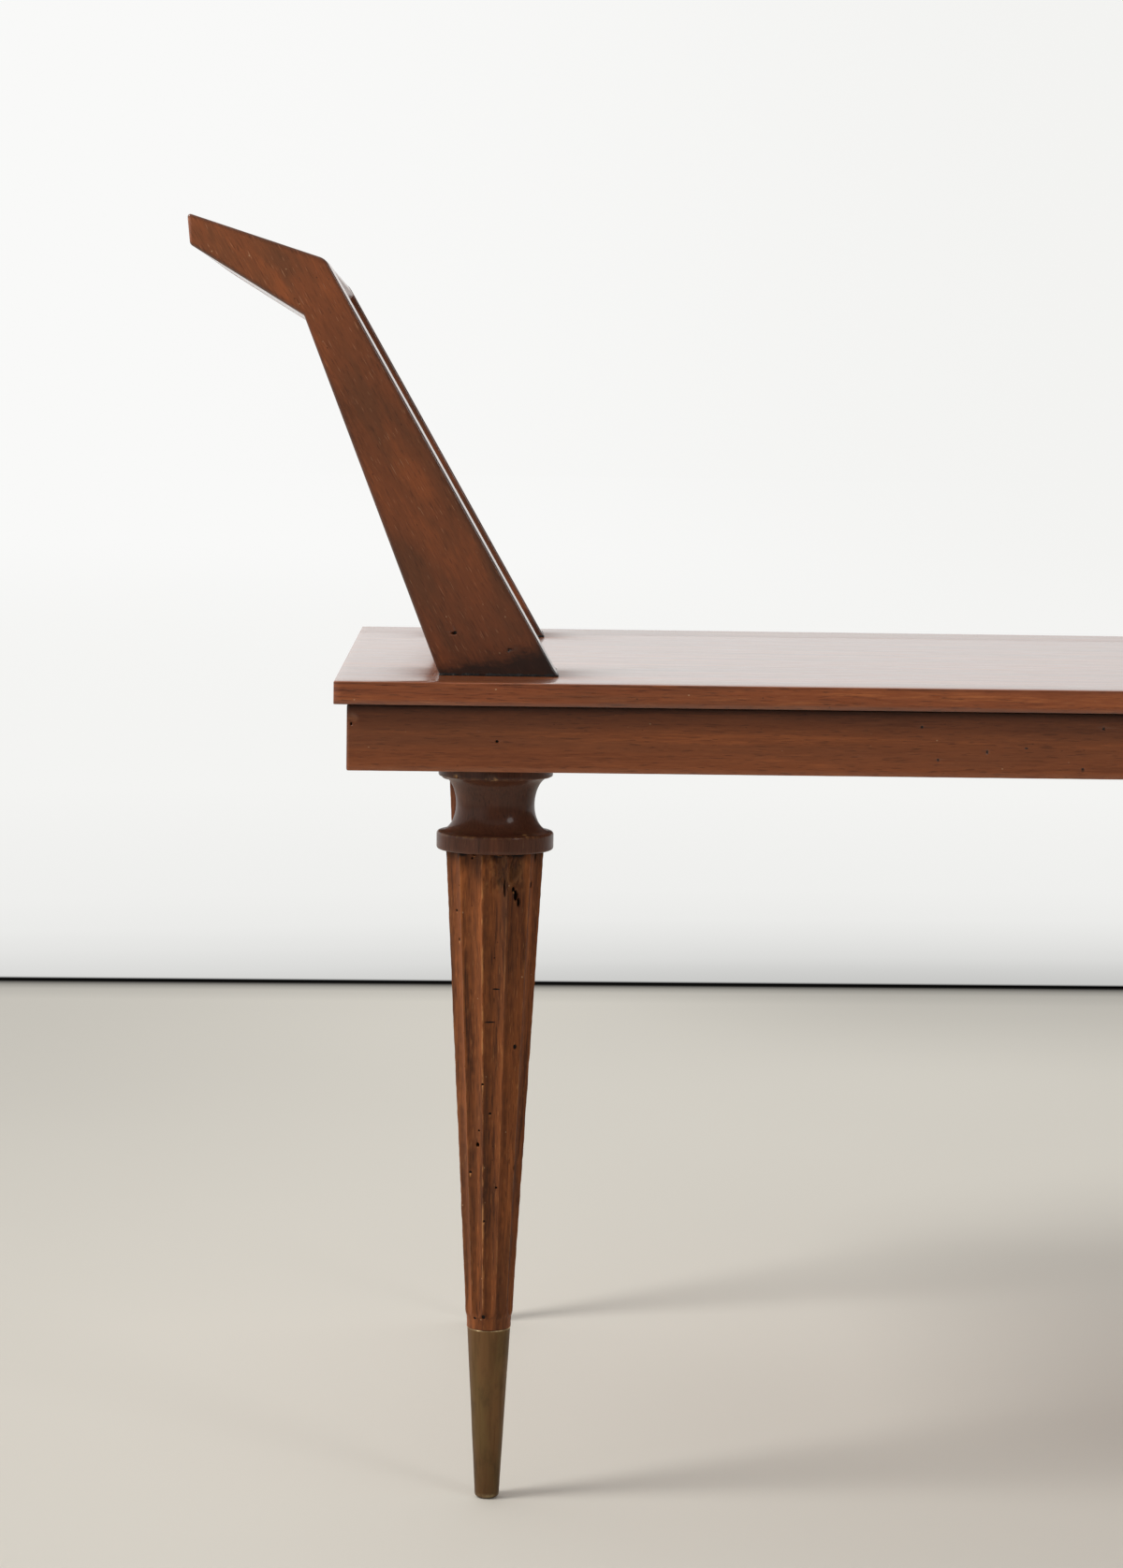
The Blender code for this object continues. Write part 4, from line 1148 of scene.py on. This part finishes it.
def make_sabot(corner, seed, material):
    profile = sabot_profile()
    radii, heights, angles = turned(profile, SABOT_SIDES)
    centre = leg_centre(corner)
    wander = rough(around(radii, heights, angles, centre), 0.018, seed)
    radii = radii + np.where(radii > 0.004, wander * 0.00007, 0)
    piece(f"brass_cup_{corner.name}", around(radii, heights, angles, centre), material,
          "sabot_brass", f"sabot_{corner.name}", wear=np.repeat(profile[:, [2]], SABOT_SIDES, 1))


# Stage, light and camera

def make_floor():
    """A plain pale floor, darkened with painted shade, that turns into bright glowing paper behind a
    painted dark gap.
    """
    mesh = bpy.data.meshes.new("floor")
    reach = FLOOR_REACH
    corners = [(-reach, FLOOR_FRONT, 0), (reach, FLOOR_FRONT, 0), (reach, reach, 0), (-reach, reach, 0)]
    mesh.from_pydata(corners, [], [(0, 1, 2, 3)])
    mesh.materials.append(floor_material())
    floor = new_object("floor", mesh)
    floor.location.z = -FLOOR_DROP


def floor_material():
    """Pale, darkened towards its edges with painted shade and shadow, then painted black in the gap, then
    glowing paper.
    """
    graph = Graph("pale_floor")
    place = graph.place()
    x, y = graph.axis(place, "X"), graph.axis(place, "Y")
    drift = graph.noise(place, (1.2, 0.8, 1), 2.0)
    base = graph.mix(graph.ramp(drift, 0.3, 0.7), colour(FLOOR_COLOUR), colour(FLOOR_COLOUR, 0.95))
    light = graph.times(graph.ramp(x, *FLOOR_LEFT), graph.ramp(y, *FLOOR_NEAR))
    base = graph.mix(1.0, base, light, "MULTIPLY")
    shadow = graph.times(graph.ramp(y, *FLOOR_FAR), graph.ramp(x, *FLOOR_RIGHT))
    graph.shade(Base_Color=graph.mix(shadow, base, (0, 0, 0, 1)), Roughness=0.65)
    back = graph.math("SUBTRACT", y, graph.plus(graph.times(x, PAPER_SLANT), PAPER_FOOT))
    lit = graph.levels(back, [(reach, (level,) * 3 + (1,)) for reach, level in PAPER_SHADE])
    black = graph.add("Emission", {"Strength": 0.0}).outputs[0]
    ground = graph.add("MixShader", {0: lit, 1: black, 2: graph.shader.outputs[0]}).outputs[0]
    sideways = graph.math("DIVIDE", x, y)
    climb = graph.plus(back, graph.ramp(sideways, *PAPER_LEFT))
    shades = [(reach, colour((level, level, level - 2))) for reach, level in PAPER_LEVELS]
    far = graph.ramp(back, PAPER_LEVELS[-1][0], PAPER_REACH)
    paper = graph.mix(far, graph.levels(climb, shades), white_paper(graph, sideways))
    glow = graph.add("Emission", {"Color": paper, "Strength": 1.0}).outputs[0]
    on_paper = graph.ramp(back, *PAPER_EDGE)
    graph.surface(graph.add("MixShader", {0: on_paper, 1: ground, 2: glow}).outputs[0])
    return graph.material


def white_paper(graph, sideways):
    """The backdrop's glowing white, a little darker towards the right with painted shade."""
    return graph.mix(graph.ramp(sideways, -0.1, 0.2), *(colour(white) for white in PAPER_WHITES))


def make_world():
    """Soft studio surround: bright behind the bench, above and to the left, and dim in front."""
    world = bpy.data.worlds.new("studio")
    bpy.context.scene.world = world
    graph = Graph("studio", world)
    direction = graph.add("TexCoord", {}).outputs["Generated"]
    level = (FRONT_LIGHT,) * 3 + (1,)
    for axis, low, high, brightness in GLOWS:
        share = graph.ramp(graph.axis(direction, axis), low, high)
        level = graph.mix(share, level, (brightness, brightness * 0.99, brightness * 0.975, 1))
    falloff = graph.ramp(graph.axis(direction, "X"), *RIGHT_FALLOFF)
    level = graph.mix(1.0, level, falloff, "MULTIPLY")
    surround = graph.add("Background", {"Color": level})
    seen = graph.add("Background", {"Color": white_paper(graph, graph.axis(direction, "X"))})
    camera_ray = graph.add("LightPath", {}).outputs["Is Camera Ray"]
    choice = graph.add("MixShader", {0: camera_ray, 1: surround.outputs[0], 2: seen.outputs[0]})
    graph.surface(choice.outputs[0])


def make_light(lamp):
    data = bpy.data.lights.new(lamp.name, "AREA")
    data.shape = "DISK"
    data.size = lamp.size
    data.energy = lamp.power
    data.color = lamp.tint
    light = new_object(lamp.name, data)
    light.location = lamp.place
    turn = (Vector(lamp.target) - Vector(lamp.place)).to_track_quat("-Z", "Y")
    light.rotation_euler = turn.to_euler()


def make_camera():
    yaw, pitch, roll = CAMERA_YAW, CAMERA_PITCH, CAMERA_ROLL
    forward = Vector((math.sin(yaw) * math.cos(pitch), math.cos(yaw) * math.cos(pitch), -math.sin(pitch)))
    level = Vector((math.cos(yaw), -math.sin(yaw), 0))
    down = forward.cross(level)
    right = math.cos(roll) * level - math.sin(roll) * down
    below = math.sin(roll) * level + math.cos(roll) * down
    data = bpy.data.cameras.new("camera")
    data.sensor_fit = "AUTO"
    data.sensor_width = SENSOR
    data.lens = FOCAL_PIXELS * SENSOR / PHOTO_HEIGHT
    camera = new_object("camera", data)
    turn = Matrix((right, -below, -forward)).transposed()
    camera.matrix_world = Matrix.Translation(CAMERA_PLACE) @ turn.to_4x4()
    bpy.context.scene.camera = camera


# The bench

Corner = namedtuple("Corner", "name side row seen")


def corners(side_name, side):
    """The two corners of an end. The photograph shows only the front left one in full."""
    return [Corner(f"{row_name}_{side_name}", side, row, side + row == -2) for row_name, row in ROWS]


def dress(material, *prefixes):
    """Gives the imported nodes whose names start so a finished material."""
    for name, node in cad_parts.items():
        if name.startswith(prefixes):
            for holder in node.material_slots:
                holder.material = material


def make_ends():
    glue_and_gap_shade = glue_and_gap_shade_material()
    for side_name, side in SIDES:
        grain = (0, math.radians(ARM_GRAIN) * side, 0)
        for corner in corners(side_name, side):
            shades = ARM_SHADES if corner.seen else OTHER_ARM_SHADES
            seed = 50 + 7 * side + 3 * corner.row
            material = arm_wood(f"arm_{corner.name}_wood", grain, seed, *shades)
            make_arm(corner, ARM_DENTS if corner.seen else [], material)
            make_glue(corner, glue_and_gap_shade)
        material = wood(f"rest_{side_name}_wood", ARM_WOOD, (0, 0, math.pi / 2), 60 + side).material
        make_armrest(side_name, side, material)


def make_legs():
    generator = random.Random(SEED)
    brass = brass_material()
    upright = (0, math.pi / 2, 0)
    for corner in corners(*SIDES[0]) + corners(*SIDES[1]):
        seed = 70 + 7 * corner.side + 3 * corner.row
        others = random_dents(generator)
        kind = SHAFT_WOOD if corner.row < 0 else REAR_SHAFT_WOOD
        head = wood(f"head_{corner.name}_wood", CAPITAL_WOOD, upright, seed).material
        shaft = wood(f"shaft_{corner.name}_wood", kind, upright, seed + 1).material
        make_capital(corner, HEAD_CHIPS if corner.seen else [], seed, head)
        make_shaft(corner, SHAFT_DENTS if corner.seen else others, seed, shaft)
        make_sabot(corner, seed, brass)
    dress(brass, "sabot_pin")


def main():
    bpy.context.scene.view_settings.view_transform = "Standard"
    make_camera()
    make_world()
    make_floor()
    for lamp in LAMPS:
        make_light(lamp)
    make_seat(wood("seat_wood", SEAT_WOOD, seed=3).material)
    make_aprons()
    make_ends()
    make_legs()
    inner_wood = wood("inner_wood", ROUGH_WOOD, (0, 0, math.pi / 2), 8).material
    dress(inner_wood, "leg_block", "batten_1", "batten_2", "batten_3", "armrest_dowel")
    dress(steel_material(), "arm_screw", "batten_screw")


main()
